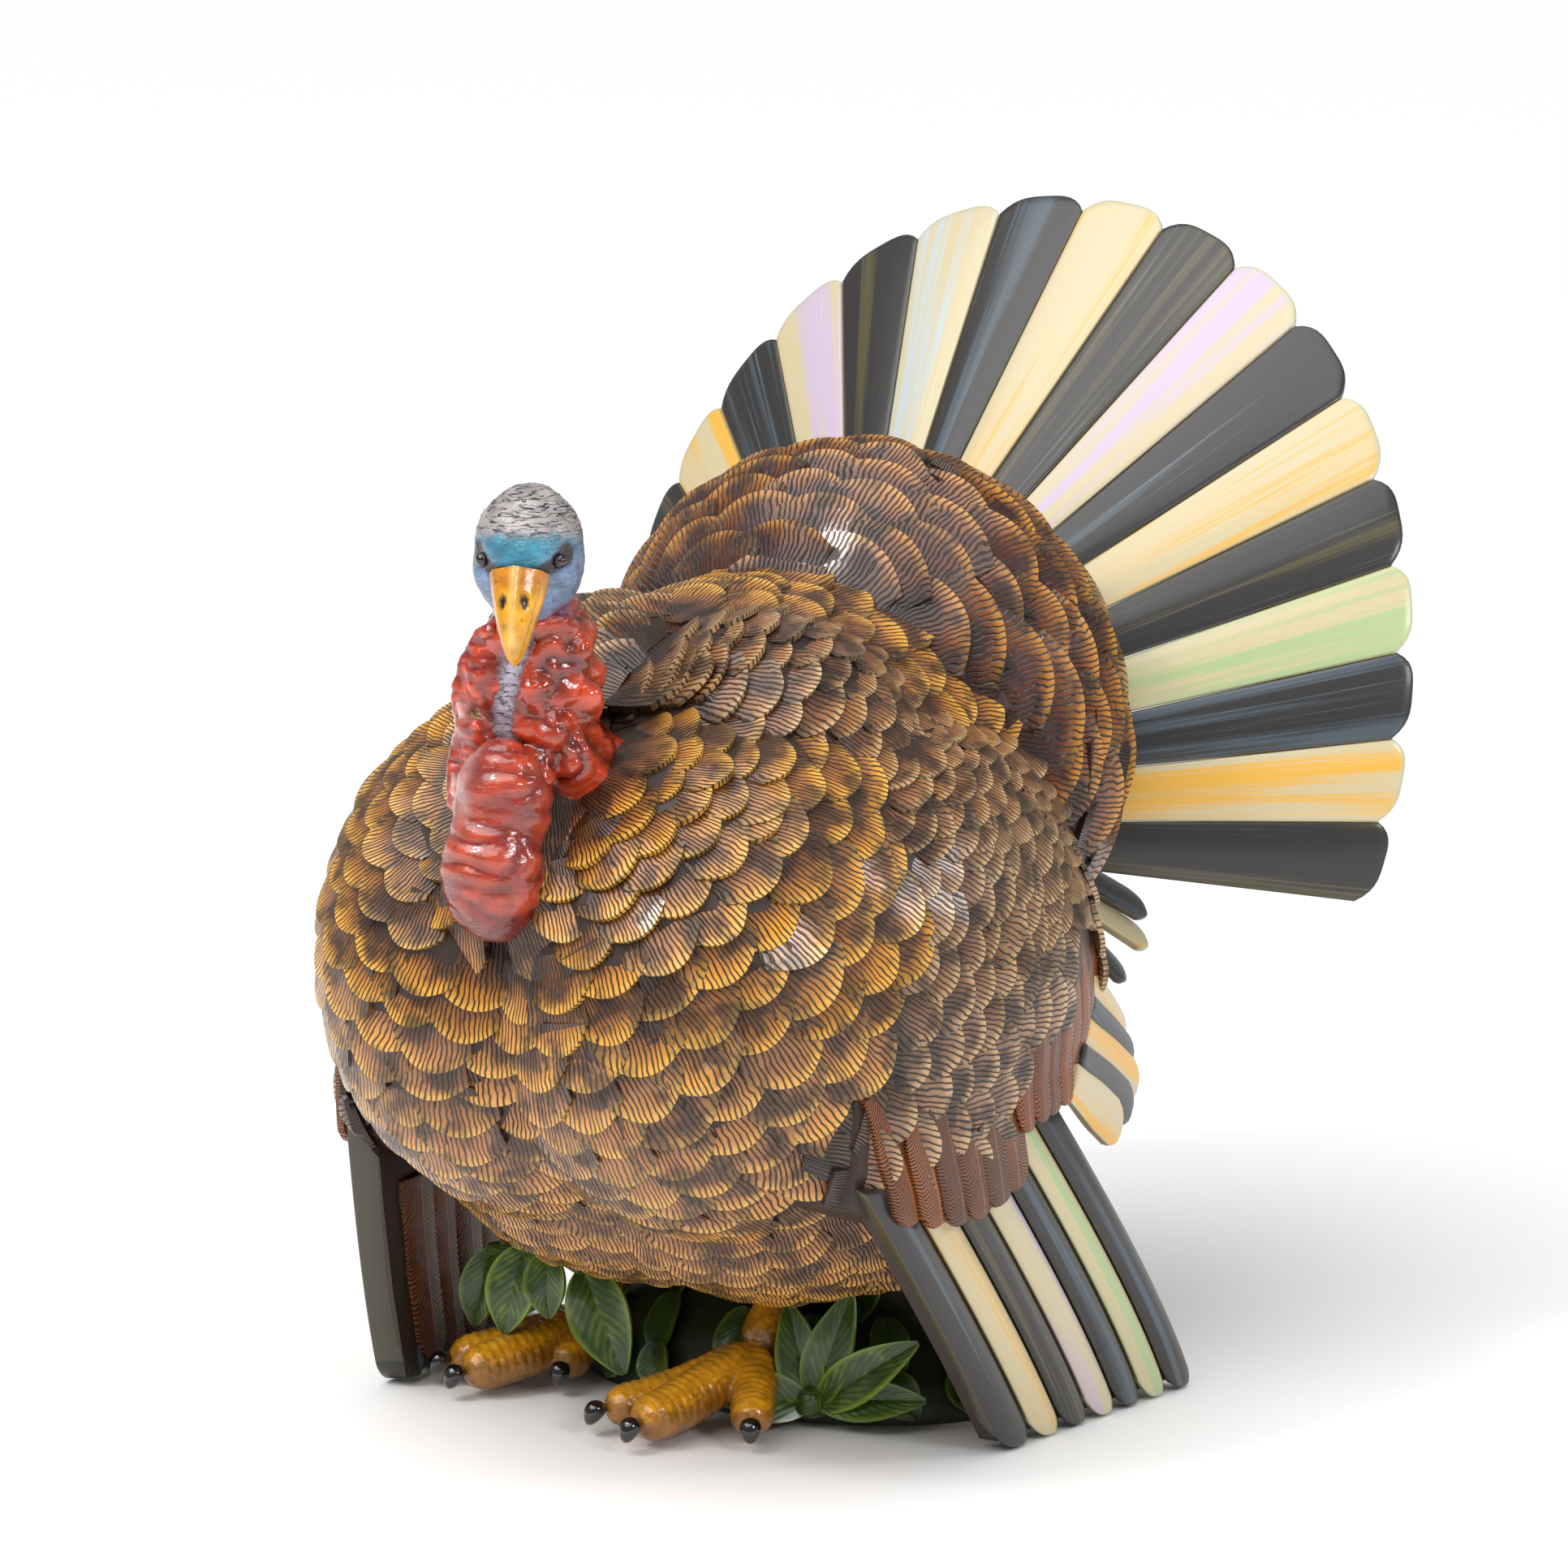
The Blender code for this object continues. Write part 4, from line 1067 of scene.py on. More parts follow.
def stripe_paints():
    """The two enamels of wings, fan and undertail."""
    if "black_brushed_enamel" not in bpy.data.materials:
        # the black enamel's thin slate-grey streak marks are painted sheen; the cream's pale streak
        # marks are brushed paint
        brushed_enamel("black_brushed_enamel", paints().black, linear("6E7C88"), 0.72,
                       linear("4A442C"), linear("1C1A18"))
        brushed_enamel("cream_brushed_enamel", paints().cream, linear("E6DABC"), 0.68,
                       linear("8C7D55"), linear("B9BC98"))
    return (bpy.data.materials["black_brushed_enamel"],
            bpy.data.materials["cream_brushed_enamel"])


YELLOW, LILAC, GREEN, SKY = (linear(c) for c in ("E6AE3C", "C6B4CE", "A9C08A", "BACBD6"))
SLATE, OLIVE = linear("47545E"), linear("4E4728")


class TURKEY_OT_flight(TurkeyOperator):
    """Seven striped flight feathers on each wing, black and cream in turn."""
    bl_idname = "turkey.flight"
    bl_label = "Flight feathers"

    def execute(self, context):
        black, cream = stripe_paints()
        accents = (SLATE, YELLOW, OLIVE, LILAC, SLATE, GREEN, SLATE)
        for side, word in SIDES:
            for i in range(FLIGHT_COUNT):
                low = partial(flight_point, i, across=0.0, inset=1.6, side=side)
                high = partial(flight_point, i, across=1.0, inset=1.6, side=side)
                obj = blade(f"stripe_{word}_{i + 1}", low, high, (side, 0, 0.1),
                            12.0 if i == 0 else 6.0, 2.4, 0.075, 12, 30, soft=1.3, lean=-0.4)
                mark(obj, tint=0.13 * (i + 1) + (0.05 if side > 0 else 0.0), accent=accents[i])
                settle(obj, black if i % 2 == 0 else cream, "figure",
                       "black" if i % 2 == 0 else "cream", f"flight_feather_{word}_{i + 1}")
        return {"FINISHED"}


class TURKEY_OT_tertials(TurkeyOperator):
    """The striped inner feathers that show under and behind the curtain."""
    bl_idname = "turkey.tertials"
    bl_label = "Tertials"

    def execute(self, context):
        black, cream = stripe_paints()
        # root y, z, tip y, z, half-width, depth inward, and whether it is cream
        plan = ((30, 128, 74, 101, 9.5, 0.0, True), (40, 134, 88, 105, 9.0, 1.8, False),
                (48, 142, 97, 112, 8.5, 3.6, True), (56, 150, 96, 122, 7.0, 5.4, False),
                (60, 160, 92, 132, 6.5, 7.2, True))
        for side, word in SIDES:
            made = {True: [], False: []}
            for y0, z0, y1, z1, half, deep, pale in plan:
                a, b = Vector((0, y0, z0)), Vector((0, y1, z1))
                way = (b - a).normalized()
                aside = Vector((0, -way.z, way.y)) * half

                def line(t, sign, a=a, b=b, aside=aside, deep=deep):
                    c = a.lerp(b, t) + aside * sign * (0.8 + 0.2 * step(0, 0.6, t))
                    return Vector(((120.5 - 0.1 * (c.y - 60) - deep) * side, c.y, c.z))
                obj = blade("t", partial(line, sign=1), partial(line, sign=-1), (side, 0, 0), 4.0,
                            1.2, 0.16, 8, 18, soft=0.8)
                made[pale].append(mark(obj, tint=0.2 + deep * 0.1,
                                       accent=YELLOW if pale else SLATE))
            pale = joined(made[True], "tertial_cream_" + word)
            settle(pale, cream, "figure", "cream", "tertials_" + word)
            dark = joined(made[False], "tertial_black_" + word)
            settle(dark, black, "figure", "black")
        return {"FINISHED"}


class TURKEY_OT_undertail(TurkeyOperator):
    """Three short striped feathers on each side below the fan."""
    bl_idname = "turkey.undertail"
    bl_label = "Undertail feathers"

    def execute(self, context):
        black, cream = stripe_paints()
        for side, word in SIDES:
            for i, (root, tip, half) in enumerate(UNDERTAIL):
                drop = Vector((0, 0, 0 if side > 0 else UNDERTAIL_DROP))
                a, b = [Vector((p[0] * side, p[1], p[2])) - drop for p in (root, tip)]
                facing = Vector((0.75 * side, 0.25, 0.6)).normalized()
                way = (b - a).normalized()
                aside = way.cross(facing).normalized() * half

                def line(t, sign, a=a, b=b, aside=aside):
                    return a.lerp(b, t) + aside * sign * (0.75 + 0.25 * step(0, 0.5, t))
                obj = blade(f"undertail_stripe_{word}_{i + 1}", partial(line, sign=1),
                            partial(line, sign=-1), facing, 3.2, 1.6, 0.14, 8, 18, soft=0.8)
                mark(obj, tint=0.3 * i + 0.1, accent=YELLOW if i == 1 else SLATE)
                settle(obj, cream if i == 1 else black, "figure", "cream" if i == 1 else "black",
                       f"undertail_{word}_{i + 1}")
        return {"FINISHED"}


class TURKEY_OT_fan(TurkeyOperator):
    """Twenty-one striped tail feathers, and the coverts over their roots behind."""
    bl_idname = "turkey.fan"
    bl_label = "Tail fan"

    def execute(self, context):
        black, cream = stripe_paints()
        accents = (YELLOW, GREEN, YELLOW, LILAC, SKY, YELLOW, LILAC, YELLOW, GREEN, YELLOW)
        half_fan = TAIL_COUNT * TAIL_STEP / 2
        for i in range(TAIL_COUNT):
            turn = TAIL_TURN - half_fan + TAIL_STEP * i

            def line(t, at):
                return rim_point(at).lerp(tip_point(at), t) - FAN_BACK * 1.6
            dark = i % 2 == 0
            obj = blade(f"tail_blade_{i + 1:02d}", partial(line, at=turn - 0.08),
                        partial(line, at=turn + TAIL_STEP + 0.08), -FAN_BACK, 4.4, 1.6, 0.055,
                        14, 34, soft=1.0, lean=0.4)
            accent = (SLATE if i % 4 else OLIVE) if dark else accents[i // 2]
            mark(obj, tint=(i * 0.37) % 1.0, accent=accent)
            settle(obj, black if dark else cream, "tail", "black" if dark else "cream",
                   f"tail_feather_{i + 1:02d}")

        figure_form()
        fan = Form(["tail_hub"] + [f"tail_feather_{i + 1:02d}" for i in range(TAIL_COUNT)])
        owners = set(fan.owners)
        centre = RIM_CENTRE - FAN_BACK * 70

        def keep(p):
            off = p - RIM_CENTRE
            up = off.y * math.sin(TAIL_TILT) + off.z * math.cos(TAIL_TILT)
            ring = math.hypot(off.x / RIM_RADII[0], up / RIM_RADII[1])
            return ring < 1.06 and off.dot(FAN_BACK) > 1
        laid = lay_rows(fan, centre, FAN_BACK, 3, 60, 11.5, 22.0, owners, keep)
        laid = [place for place in laid if place[3].dot(FAN_BACK) > 0.6]
        hue = paints()
        paint = carved_resin("varnished_tail_covert_resin", linear("24120A"),
                             (hue.mantle, linear("4C220E")),
                             (hue.mantle_tip, linear("B8701F")), linear("E2A640"), 12.0)
        obj = coat("tail_coverts", laid, FORMS["scallop"], 47, 1.1, 2.2, lambda p: 0.4)
        settle(obj, paint, "tail", "brown")
        return {"FINISHED"}


def in_head(p):
    """A point of the row frame in the head's own unturned axes."""
    return HEAD_TURN.inverted() @ (Vector(p) - HEAD_CENTRE)


def from_head(p):
    return HEAD_CENTRE + HEAD_TURN @ Vector(p)


class TURKEY_OT_head(TurkeyOperator):
    """Head with brows and sockets, beak with nostrils, eyes with lids."""
    bl_idname = "turkey.head"
    bl_label = "Head, beak and eyes"

    def execute(self, context):
        crown, teal, cheek = linear("A9A09E", 1.0), linear("3C8EA8", 0.3), linear("7890B0", 0.3)
        patch, nape, lilac = linear("2A161C", 0.3), linear("A8402C", 0.1), linear("8C8AA8", 0.3)

        def form(u, v):
            lat, lon = math.pi * (v - 0.5), math.tau * u
            x = HEAD_RADII[0] * math.cos(lat) * math.cos(lon)
            y = HEAD_RADII[1] * math.cos(lat) * math.sin(lon)
            z = HEAD_RADII[2] * math.sin(lat)
            x *= 1 - 0.16 * step(4, 24, -z) + 0.03 * step(4, 12, z) * step(22, 14, z)
            return from_head((x, y, z))

        def relief(p, n):
            q = in_head(p)
            side = abs(q.x)
            h = 1.7 * bump((side, q.y, q.z), (7.5, -19, 5.0), 5.5)
            h -= 2.0 * bump((side, q.y, q.z), (13.5, -15.5, 0.5), 4.8)
            h -= 0.9 * bump((side, q.y, q.z), (7.5, -20.5, -2.5), 3.6)
            h += 0.9 * bump((side, q.y, q.z), (14, -11, -9), 7)
            h -= 0.7 * bump((side, q.y, q.z), (0, -22, 8), 3.2)
            h += 0.5 * noise.noise(q * 0.16) + 0.28 * noise.noise(q * 0.5)
            if q.z > 4:
                h += 0.28 * noise.noise(Vector((q.x * 0.25, q.y * 0.25, q.z * 1.3)))
            return h

        def tint(p, h, n):
            q = in_head(p)
            side, wob = abs(q.x), 3.0 * noise.noise(q * 0.22) + 1.5 * noise.noise(q * 0.7)
            colour = lerp_colour(cheek, lilac, step(0, 10, q.y + wob))
            front = step(-8, -15, q.y) * step(13, 6, side + wob * 0.6)
            colour = lerp_colour(colour, teal, front * step(-5, 0, q.z))
            colour = lerp_colour(colour, teal, 0.6 * step(1, 7, q.z + wob))
            colour = lerp_colour(colour, crown, step(6.5, 11.5, q.z + wob + 0.12 * q.y + 1.5))
            a, b = Vector((15, -14, 2.5)), Vector((6, -21.5, -3.5))
            way = b - a
            pt = Vector((side, q.y, q.z))
            t = min(max((pt - a).dot(way) / way.length_squared, -0.15), 1)
            near = (pt - (a + way * t)).length
            colour = lerp_colour(colour, patch,
                                 step(4.8 - 1.6 * t, 2.8 - 1.2 * t, near + wob * 0.3))
            colour = lerp_colour(colour, nape, step(-12, -19, q.z + wob) * step(-14, -6, q.y))
            return colour

        head = weld(shaped_grid("head_skin", 96, 64, form))
        carve(head, relief, tint)
        skin = glazed_skin("glazed_head_enamel", linear("1E2334"), 0.36, 0.35, 900.0, 0.35)
        settle(smooth(head, 60), skin, "figure", "blue", "head")

        root, tip = Vector((0, -17, -4)), Vector((0, -30.5, -33.5))
        along = (tip - root).normalized()
        lift = Vector((1, 0, 0)).cross(along)

        def beak_form(u, v):
            a = math.tau * u
            wide = 10.4 * (1 - v) ** 0.72 + 1.3 * math.sqrt(max(0, 1 - v ** 6))
            deep = 8.2 * (1 - v) ** 0.5 + 1.6 * math.sqrt(max(0, 1 - v ** 6))
            close = math.sqrt(max(0.0, 1 - step(0.94, 1.0, v)))
            c, s = math.cos(a), math.sin(a)
            top = -s if lift.y > 0 else s
            ridge = 1 + 0.22 * math.exp(-(c / 0.22) ** 2) * step(0.2, 0.5, top)
            pinch = 1 - 0.12 * math.exp(-((abs(c) - 0.92) / 0.12) ** 2)
            spot = root.lerp(tip, v) + Vector((0, -1.4, 0.4)) * math.sin(math.pi * v)
            return from_head(spot + (Vector((1, 0, 0)) * wide * c * pinch
                                     + lift * deep * s * ridge) * close)

        nostril = Vector((3.9, -29.6, -11.5))

        def beak_relief(p, n):
            q = in_head(p)
            slot = Vector((abs(q.x), q.y, q.z)) - nostril
            slot.z *= 0.5
            return -0.9 * math.exp(-(slot.length / 1.5) ** 2) + 0.12 * noise.noise(q * 0.6)

        def beak_tint(p, h, n):
            q = in_head(p)
            slot = Vector((abs(q.x), q.y, q.z)) - nostril
            slot.z *= 0.5
            base = lerp_colour(linear("E9A41A", 0.0), linear("B4611C", 0.2),
                               step(-9.5, -4.5, q.z + 2 * noise.noise(q * 0.4)) * 0.6)
            base = lerp_colour(base, linear("F3C878", 0.0), step(2.2, 0.4, abs(q.x)) * 0.6
                               * step(-30, -24, q.z))
            base = lerp_colour(base, linear("2A1408", 0.0), step(1.9, 1.1, slot.length))
            return lerp_colour(base, linear("7A3A12", 0.0), step(-22, -14, q.y) * 0.6)
        beak = weld(shaped_grid("beak_horn", 56, 44, beak_form))
        carve(beak, beak_relief, beak_tint)
        horn = glazed_skin("glazed_beak_enamel", linear("5A2C0C"), 0.28, 0.6, 500.0, 0.12)
        settle(smooth(beak, 60), horn, "figure", "ochre", "beak")

        gloss = gloss_black("gloss_black_enamel")
        lid_paint = glazed_skin("glazed_lid_enamel", linear("120A0C"), 0.35, 0.6, 900.0, 0.2)
        for side, word in SIDES:
            spot = from_head((13.5 * side, -14.3, 0.9))
            eye = round_form("eyeball_" + word, spot, (2.5, 2.5, 2.5), 24, 16)
            settle(smooth(eye, 80), gloss, "figure", "eye", "eye_" + word)
            facing = HEAD_TURN @ Vector((0.78 * side, -0.62, 0))
            across = facing.cross(Vector((0, 0, 1))).normalized()

            def lid(u, v, spot=spot, facing=facing, across=across):
                a, b = math.tau * u, math.tau * v
                ring = 2.3 + 0.45 * math.cos(b)
                return (spot + across * ring * 1.15 * math.cos(a)
                        + Vector((0, 0, 1)) * ring * 0.85 * math.sin(a)
                        + facing * (0.7 + 0.5 * math.sin(b)))
            rim = weld(shaped_grid("eyelid_" + word, 32, 12, lid))
            carve(rim, lambda p, n: 0.15 * noise.noise(p * 0.9),
                  lambda p, h, n: linear("241418", 0.2))
            settle(smooth(rim, 80), lid_paint, "figure", "blue")
        return {"FINISHED"}


class TURKEY_OT_neck(TurkeyOperator):
    """Lumpy bare neck, wrinkled hanging bulb and the curled flaps beside the throat."""
    bl_idname = "turkey.neck"
    bl_label = "Neck, bulb and flaps"

    def execute(self, context):
        red = tuple(paints().red)[:3] + (0.1,)
        dark, throat = linear("5C140C", 0.1), linear("A9A2B4", 1.0)
        orange, pink, blue = linear("D8481E", 0.05), linear("D9A6A0", 0.1), linear("6E83B8", 0.4)
        skin = glazed_skin("glazed_red_enamel", linear("3A0C0A"), 0.2, 1.0, 420.0, 0.22)

        tube = limb("n", [(0, -128, 322, 16), (1, -131, 306, 18), (1, -131, 288, 20),
                          (0, -129, 268, 20), (0, -110, 244, 24), (0, -96, 226, 24)], 32, 40)
        lobes = [round_form("n", c, (r, r * 0.8, r * 1.2), 16, 12) for c, r in
                 (((17, -134, 296), 7), ((18, -131, 280), 7.5), ((14, -143, 272), 7),
                  ((17, -136, 262), 8), ((10, -147, 258), 7), ((14, -138, 308), 5.5),
                  ((-13, -132, 306), 6), ((-15, -126, 290), 7), ((9, -146, 285), 6.5))]
        neck = fused([tube] + lobes, "neck_skin", 1.15, 9)

        def lumps(p):
            return (3.4 * abs(noise.noise(Vector((p.x, p.y, p.z * 1.3)) * 0.062))
                    + 0.7 * abs(noise.noise(Vector((p.x, p.y, p.z * 1.5)) * 0.15)))

        def throat_share(p):
            middle_x = 0.5 + 0.10 * (p.z - 285) + 1.8 * math.sin(p.z * 0.13)
            return (step(6.2, 2.6, abs(p.x - middle_x) + 1.6 * noise.noise(p * 0.3))
                    * step(-136, -142, p.y))

        def relief(p, n):
            soft = throat_share(p)
            lump = 1.5 * lumps(p) + 0.15 * noise.noise(p * 0.3)
            ring = 0.5 * noise.noise(Vector((p.x * 0.12, p.y * 0.12, p.z * 0.7)))
            return -1.0 + (1 - soft) * lump + ring - 1.1 * soft

        def tint(p, h, n):
            soft = throat_share(p)
            # painted shade: the red darkens in the creases between the lumps, and the crests turn
            # orange
            base = lerp_colour(dark, red, step(-1.0, 0.2, h))
            base = lerp_colour(base, orange, step(0.2, 1.4, h) * 0.7)
            base = lerp_colour(base, throat, soft)
            chin = step(309, 318, p.z + 2 * noise.noise(p * 0.3)) * step(-128, -140, p.y)
            return lerp_colour(base, blue, chin * 0.8)
        carve(neck, relief, tint)
        settle(smooth(neck, 80), skin, "figure", "red", "neck")

        bulb = fused([round_form("w", (0, -159, 224), (19, 16, 25), 40, 28),
                      round_form("w", (1, -154, 247), (17.5, 15, 22), 40, 28)],
                     "wattle_bulb", 1.15, 6)

        def wrinkles(p, n):
            q = Vector((p.x * 0.045, p.y * 0.045, p.z * 0.14 + 0.02 * p.x))
            fold = 2 * abs(noise.noise(q))
            fine = noise.noise(Vector((p.x * 0.12, p.y * 0.12, p.z * 0.45)))
            return 1.1 * fold + 0.22 * fine - 0.3

        def bulb_tint(p, h, n):
            # painted shade: darker red down in the wrinkle folds; the bulb also turns darker towards
            # the bottom
            base = lerp_colour(linear("8A2418", 0.2), linear("B84228", 0.12), step(-0.2, 0.6, h))
            base = lerp_colour(base, pink, 0.55 * step(232, 250, p.z) * step(0, -8, p.x))
            return lerp_colour(base, linear("6A1A14", 0.3), 0.6 * step(218, 204, p.z))
        carve(bulb, wrinkles, bulb_tint)
        settle(smooth(bulb, 80), skin, "figure", "red", "wattle")

        flaps = [round_form("f", (-11, -143, 289), (9.5, 9.5, 15), 24, 18),
                 round_form("f", (-12, -147, 262), (7.5, 8, 12), 24, 18),
                 limb("f", [(-4, -150, 307, 3), (-13, -147, 301, 3.4), (-19.5, -146, 290, 3.6),
                            (-20.5, -148, 279, 3.4), (-14, -154, 272, 3), (-6, -156, 274, 2.4)]),
                 limb("f", [(-8, -154, 268, 2.6), (-16, -152, 270, 3), (-20, -150, 264, 3.2),
                            (-20, -152, 254, 3.4), (-16, -158, 246, 3.2), (-9, -162, 246, 2.4)])]
        fold = fused(flaps, "throat_flaps", 0.95, 3)

        def flap_relief(p, n):
            return (0.5 * noise.noise(p * 0.3) + 0.35
                    * noise.noise(Vector((p.x * 0.15, p.y * 0.2, p.z * 0.6))))

        def flap_tint(p, h, n):
            # painted shade: darker red in the hollows of the flaps, orange on the raised parts
            base = lerp_colour(linear("8C1E12", 0.1), orange, step(-0.2, 0.4, h))
            rim = max(bump(p, (-18, -149, 274), 6.5), bump(p, (-12, -154, 250), 7))
            base = lerp_colour(base, pink, rim * 0.9)
            return lerp_colour(base, dark, 0.5 * step(-17, -22, p.x) * step(282, 290, p.z))
        carve(fold, flap_relief, flap_tint)
        settle(smooth(fold, 80), skin, "figure", "red", "neck_fold")
        return {"FINISHED"}


class TURKEY_OT_feet(TurkeyOperator):
    """Scaled ochre feet with blunt toes and glossy black claws."""
    bl_idname = "turkey.feet"
    bl_label = "Feet and claws"

    def execute(self, context):
        skin = glazed_skin("glazed_foot_enamel", linear("5A3208"), 0.3, 0.7, 500.0, 0.3)
        gloss = bpy.data.materials.get("gloss_black_enamel") or gloss_black("gloss_black_enamel")
        ochre = tuple(paints().ochre)[:3] + (0.0,)
        brown = linear("6A3A0C", 0.2)
        for word, toes, shank in (("left", LEFT_TOES, LEFT_SHANK),
                                  ("right", RIGHT_TOES, RIGHT_SHANK)):
            def scutes(length, angle):
                """Transverse scutes about 3.6 mm apart, strongest on top."""
                ridge = abs(math.sin(math.pi * length / 3.6)) ** 0.6
                return 0.9 * ridge * (0.55 + 0.45 * math.sin(angle)) - 1.0
            parts = [limb("t", toe, 32, 84, scutes) for toe in toes]
            parts.append(limb("t", shank, 32, 84, scutes))
            foot = fused(parts, "foot_skin_" + word, 0.75, 1)

            def tint(p, h, n):
                # painted light: surfaces facing up are full ochre with patches of painted
                # bright-yellow highlight, and surfaces turned down or aside darken towards brown as
                # painted shade
                wear_and_highlight_patches = 0.5 + 0.5 * noise.noise(p * 0.25)
                side = step(0.1, 0.75, n.z + 0.4 * noise.noise(p * 0.8))
                base = lerp_colour(brown, ochre, 0.35 + 0.65 * side)
                base = lerp_colour(base, linear("F0B83A", 0.0), 0.5 * wear_and_highlight_patches * step(0.6, 0.95, n.z))
                return lerp_colour(base, brown, step(46, 60, p.z) * 0.5)
            carve(foot, lambda p, n: 0.3 * noise.noise(p * 0.5), tint)
            settle(smooth(foot, 60), skin, "figure", "ochre", "foot_" + word)

            claws = []
            for toe in toes:
                tip, before = Vector(toe[-1][:3]), Vector(toe[-2][:3])
                ahead = (tip - before).normalized()
                side = ahead.cross(Vector((0, 0, 1))).normalized()
                rise = side.cross(ahead)
                centre = tip + ahead * 3.8 + rise * 1.2

                def nail(u, v, centre=centre, ahead=ahead, side=side, rise=rise):
                    lat, lon = math.pi * (v - 0.5), math.tau * u
                    droop = rise * -1.4 * math.sin(lat) ** 2
                    return (centre + side * 3.9 * math.cos(lat) * math.cos(lon)
                            + (ahead * 0.6 + rise * 0.8) * 3.6 * math.cos(lat) * math.sin(lon)
                            + (ahead * 0.8 - rise * 0.6) * 5.0 * math.sin(lat) + droop)
                claws.append(weld(shaped_grid("c", 28, 20, nail)))
            obj = joined(claws, "claws_" + word)
            settle(smooth(obj, 80), gloss, "figure", "ochre")
        return {"FINISHED"}


def leaf(root, tip, half, facing, cup=2.2, bow=3.0, thick=1.3):
    """A cast leaf: pointed oval, folded along its middle vein, arched from stalk to tip."""
    a, b = Vector(root), Vector(tip)
    way = (b - a).normalized()
    face = Vector(facing)
    face = (face - way * face.dot(way)).normalized()
    aside = way.cross(face)

    def place(u, v):
        s = 2 * u - 1
        wide = half * (math.sin(math.pi * min(v * 0.96 + 0.03, 1) ** 0.8) ** 0.75 + 0.02)
        crease = cup * abs(s) ** 1.4 - 0.7 * math.exp(-(s / 0.12) ** 2)
        ripple = 0.6 * math.sin(9 * v + 2 * s) * abs(s)
        return (a.lerp(b, v) + aside * s * wide
                + face * ((crease + ripple) * wide / half + bow * math.sin(math.pi * v)))
    obj = face_towards(shaped_grid("leaf", 12, 20, place), face)
    with_modifier(obj, "SOLIDIFY", thickness=thick * MM, offset=-1.0, use_even_offset=True)
    return obj


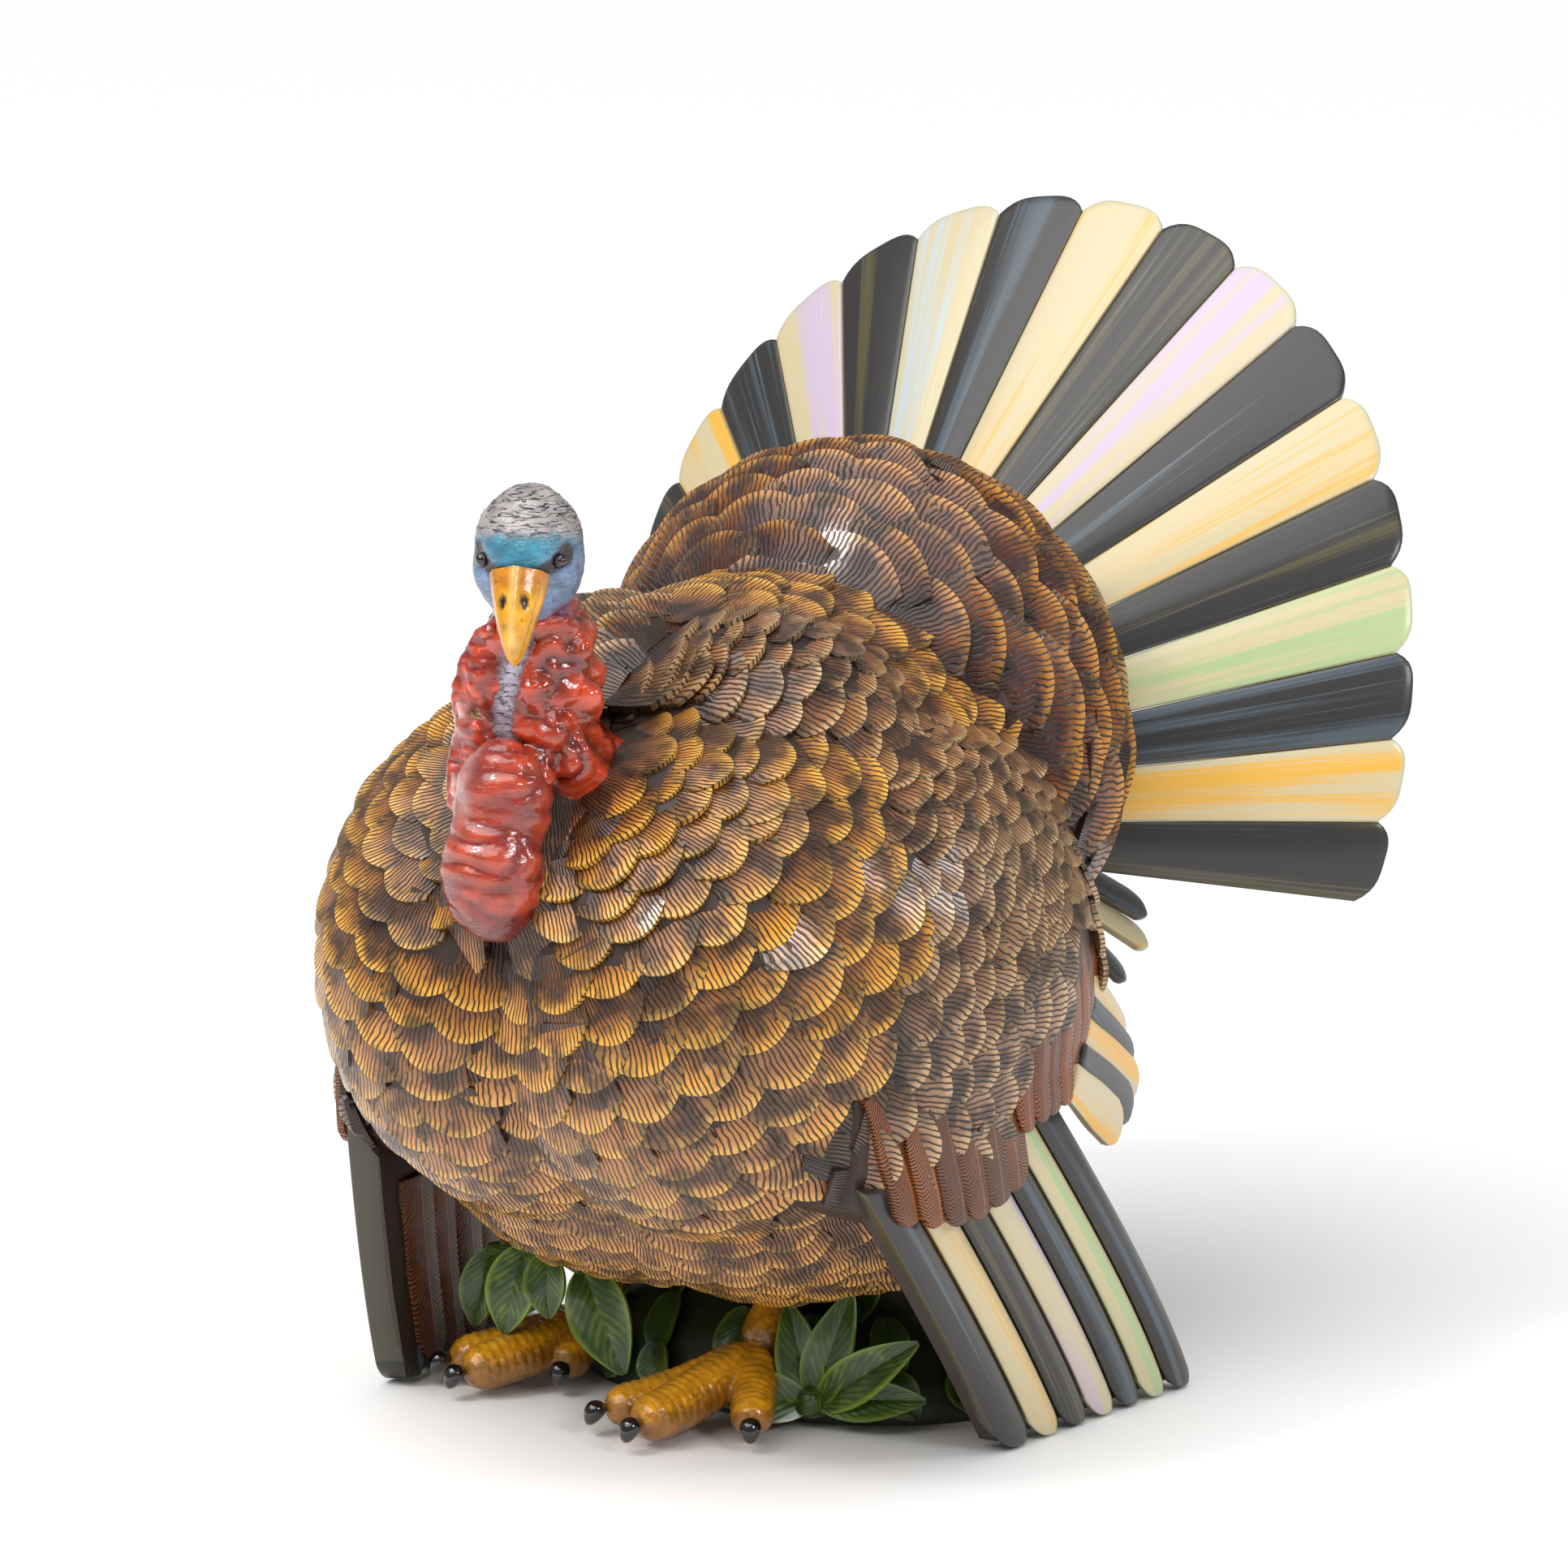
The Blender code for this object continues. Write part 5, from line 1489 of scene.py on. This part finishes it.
class TURKEY_OT_leaves(TurkeyOperator):
    """Two leaf sprays and the mound, with its low leaf relief."""
    bl_idname = "turkey.leaves"
    bl_label = "Leaves and base"

    def execute(self, context):
        hue = paints()
        green = leaf_enamel("green_leaf_enamel", hue.leaf, linear("86A030"))
        rng = random.Random(9)
        for word, (stalk, leaves) in (("left", LEFT_SPRAY), ("right", RIGHT_SPRAY)):
            parts = [mark(limb("s", stalk, 16, 24), tint=0.7)]
            for root, tip, half in leaves:
                piece = leaf(root, tip, half, (0.25, -0.9, 0.35))
                parts.append(mark(piece, tint=0.45 + 0.55 * rng.random()))
            obj = joined(parts, "leaf_spray_cast_" + word)
            settle(smooth(obj, 40), green, "figure", "leaf", "leaf_spray_" + word)

        low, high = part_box("base_mound")
        centre = (low + high) / 2 / MM
        radii = (high - low) / 2 / MM

        def mound(u, v):
            lat, lon = math.pi / 2 * v, math.tau * u
            c = math.cos(lat)
            p = Vector(((radii.x - 2) * c * math.cos(lon), (radii.y - 2) * c * math.sin(lon), 0))
            return (centre.x + p.x, centre.y + p.y, MOUND_TOP * math.sin(lat))
        base = shaped_grid("mound_cast", 72, 24, mound)
        weld(base, 0.05)
        only(base)
        bpy.ops.object.mode_set(mode="EDIT")
        bpy.ops.mesh.select_all(action="DESELECT")
        bpy.ops.mesh.select_non_manifold()
        bpy.ops.mesh.edge_face_add()
        bpy.ops.mesh.select_all(action="SELECT")
        bpy.ops.mesh.normals_make_consistent(inside=False)
        bpy.ops.object.mode_set(mode="OBJECT")
        moss = undercoat("moss_green_primer", linear("10160A"), linear("2C3A16"))
        settle(smooth(base, 50), moss, "figure", "moss", "base_mound")

        relief = []
        for ring, (count, lat, size) in enumerate(((17, 6, 26), (14, 28, 24), (9, 50, 20))):
            for k in range(count):
                lon = math.tau * (k + 0.5 * (ring % 2) + rng.uniform(-0.15, 0.15)) / count
                la = math.radians(lat)
                out = Vector((math.cos(lon), math.sin(lon), 0))
                spot = Vector((centre.x + (radii.x - 1) * math.cos(la) * out.x,
                               centre.y + (radii.y - 1) * math.cos(la) * out.y,
                               max(MOUND_TOP * math.sin(la), 3)))
                normal = Vector((out.x / radii.x * math.cos(la), out.y / radii.y * math.cos(la),
                                 math.sin(la) / MOUND_TOP)).normalized()
                down = (Vector((0, 0, -1)) - normal * -normal.z)
                aside = normal.cross(down).normalized()
                down = (down.normalized() + aside * rng.uniform(-0.7, 0.7)).normalized()
                root = spot - down * size * 0.5 + Vector((0, 0, 3))
                tip = spot + down * size * 0.5
                tip.z = max(tip.z, 2.5)
                root.z = max(root.z, 6)
                piece = leaf(root, tip, size * 0.3, normal, 1.6, 1.6, 1.2)
                relief.append(mark(piece, tint=0.25 + 0.5 * rng.random()))
        obj = joined(relief, "mound_leaves")
        settle(smooth(obj, 40), green, "figure", "leaf")
        return {"FINISHED"}


STEPS = (TURKEY_OT_stage, TURKEY_OT_carcass, TURKEY_OT_breast, TURKEY_OT_mantle,
         TURKEY_OT_wing_scales, TURKEY_OT_wing_quills, TURKEY_OT_flight, TURKEY_OT_tertials,
         TURKEY_OT_undertail, TURKEY_OT_fan, TURKEY_OT_head, TURKEY_OT_neck, TURKEY_OT_feet,
         TURKEY_OT_leaves)


class TURKEY_PT_panel(bpy.types.Panel):
    """Building steps and settings of the figure."""
    bl_label = "Turkey figure"
    bl_idname = "TURKEY_PT_panel"
    bl_space_type = "VIEW_3D"
    bl_region_type = "UI"
    bl_category = "Turkey"

    def draw(self, context):
        for step_class in STEPS:
            self.layout.operator(step_class.bl_idname)
        for group in (paints(), sizes()):
            for name in group.__annotations__:
                self.layout.prop(group, name)


CLASSES = (TurkeyPaints, TurkeySizes, *STEPS, TURKEY_PT_panel)


def register():
    for cls in CLASSES:
        bpy.utils.register_class(cls)
    bpy.types.Scene.turkey_paints = bpy.props.PointerProperty(type=TurkeyPaints)
    bpy.types.Scene.turkey_sizes = bpy.props.PointerProperty(type=TurkeySizes)


def unregister():
    del bpy.types.Scene.turkey_paints
    del bpy.types.Scene.turkey_sizes
    for cls in reversed(CLASSES):
        bpy.utils.unregister_class(cls)


def main():
    register()
    for step_class in STEPS:
        group, name = step_class.bl_idname.split(".")
        getattr(getattr(bpy.ops, group), name)()


if __name__ == "__main__":
    main()
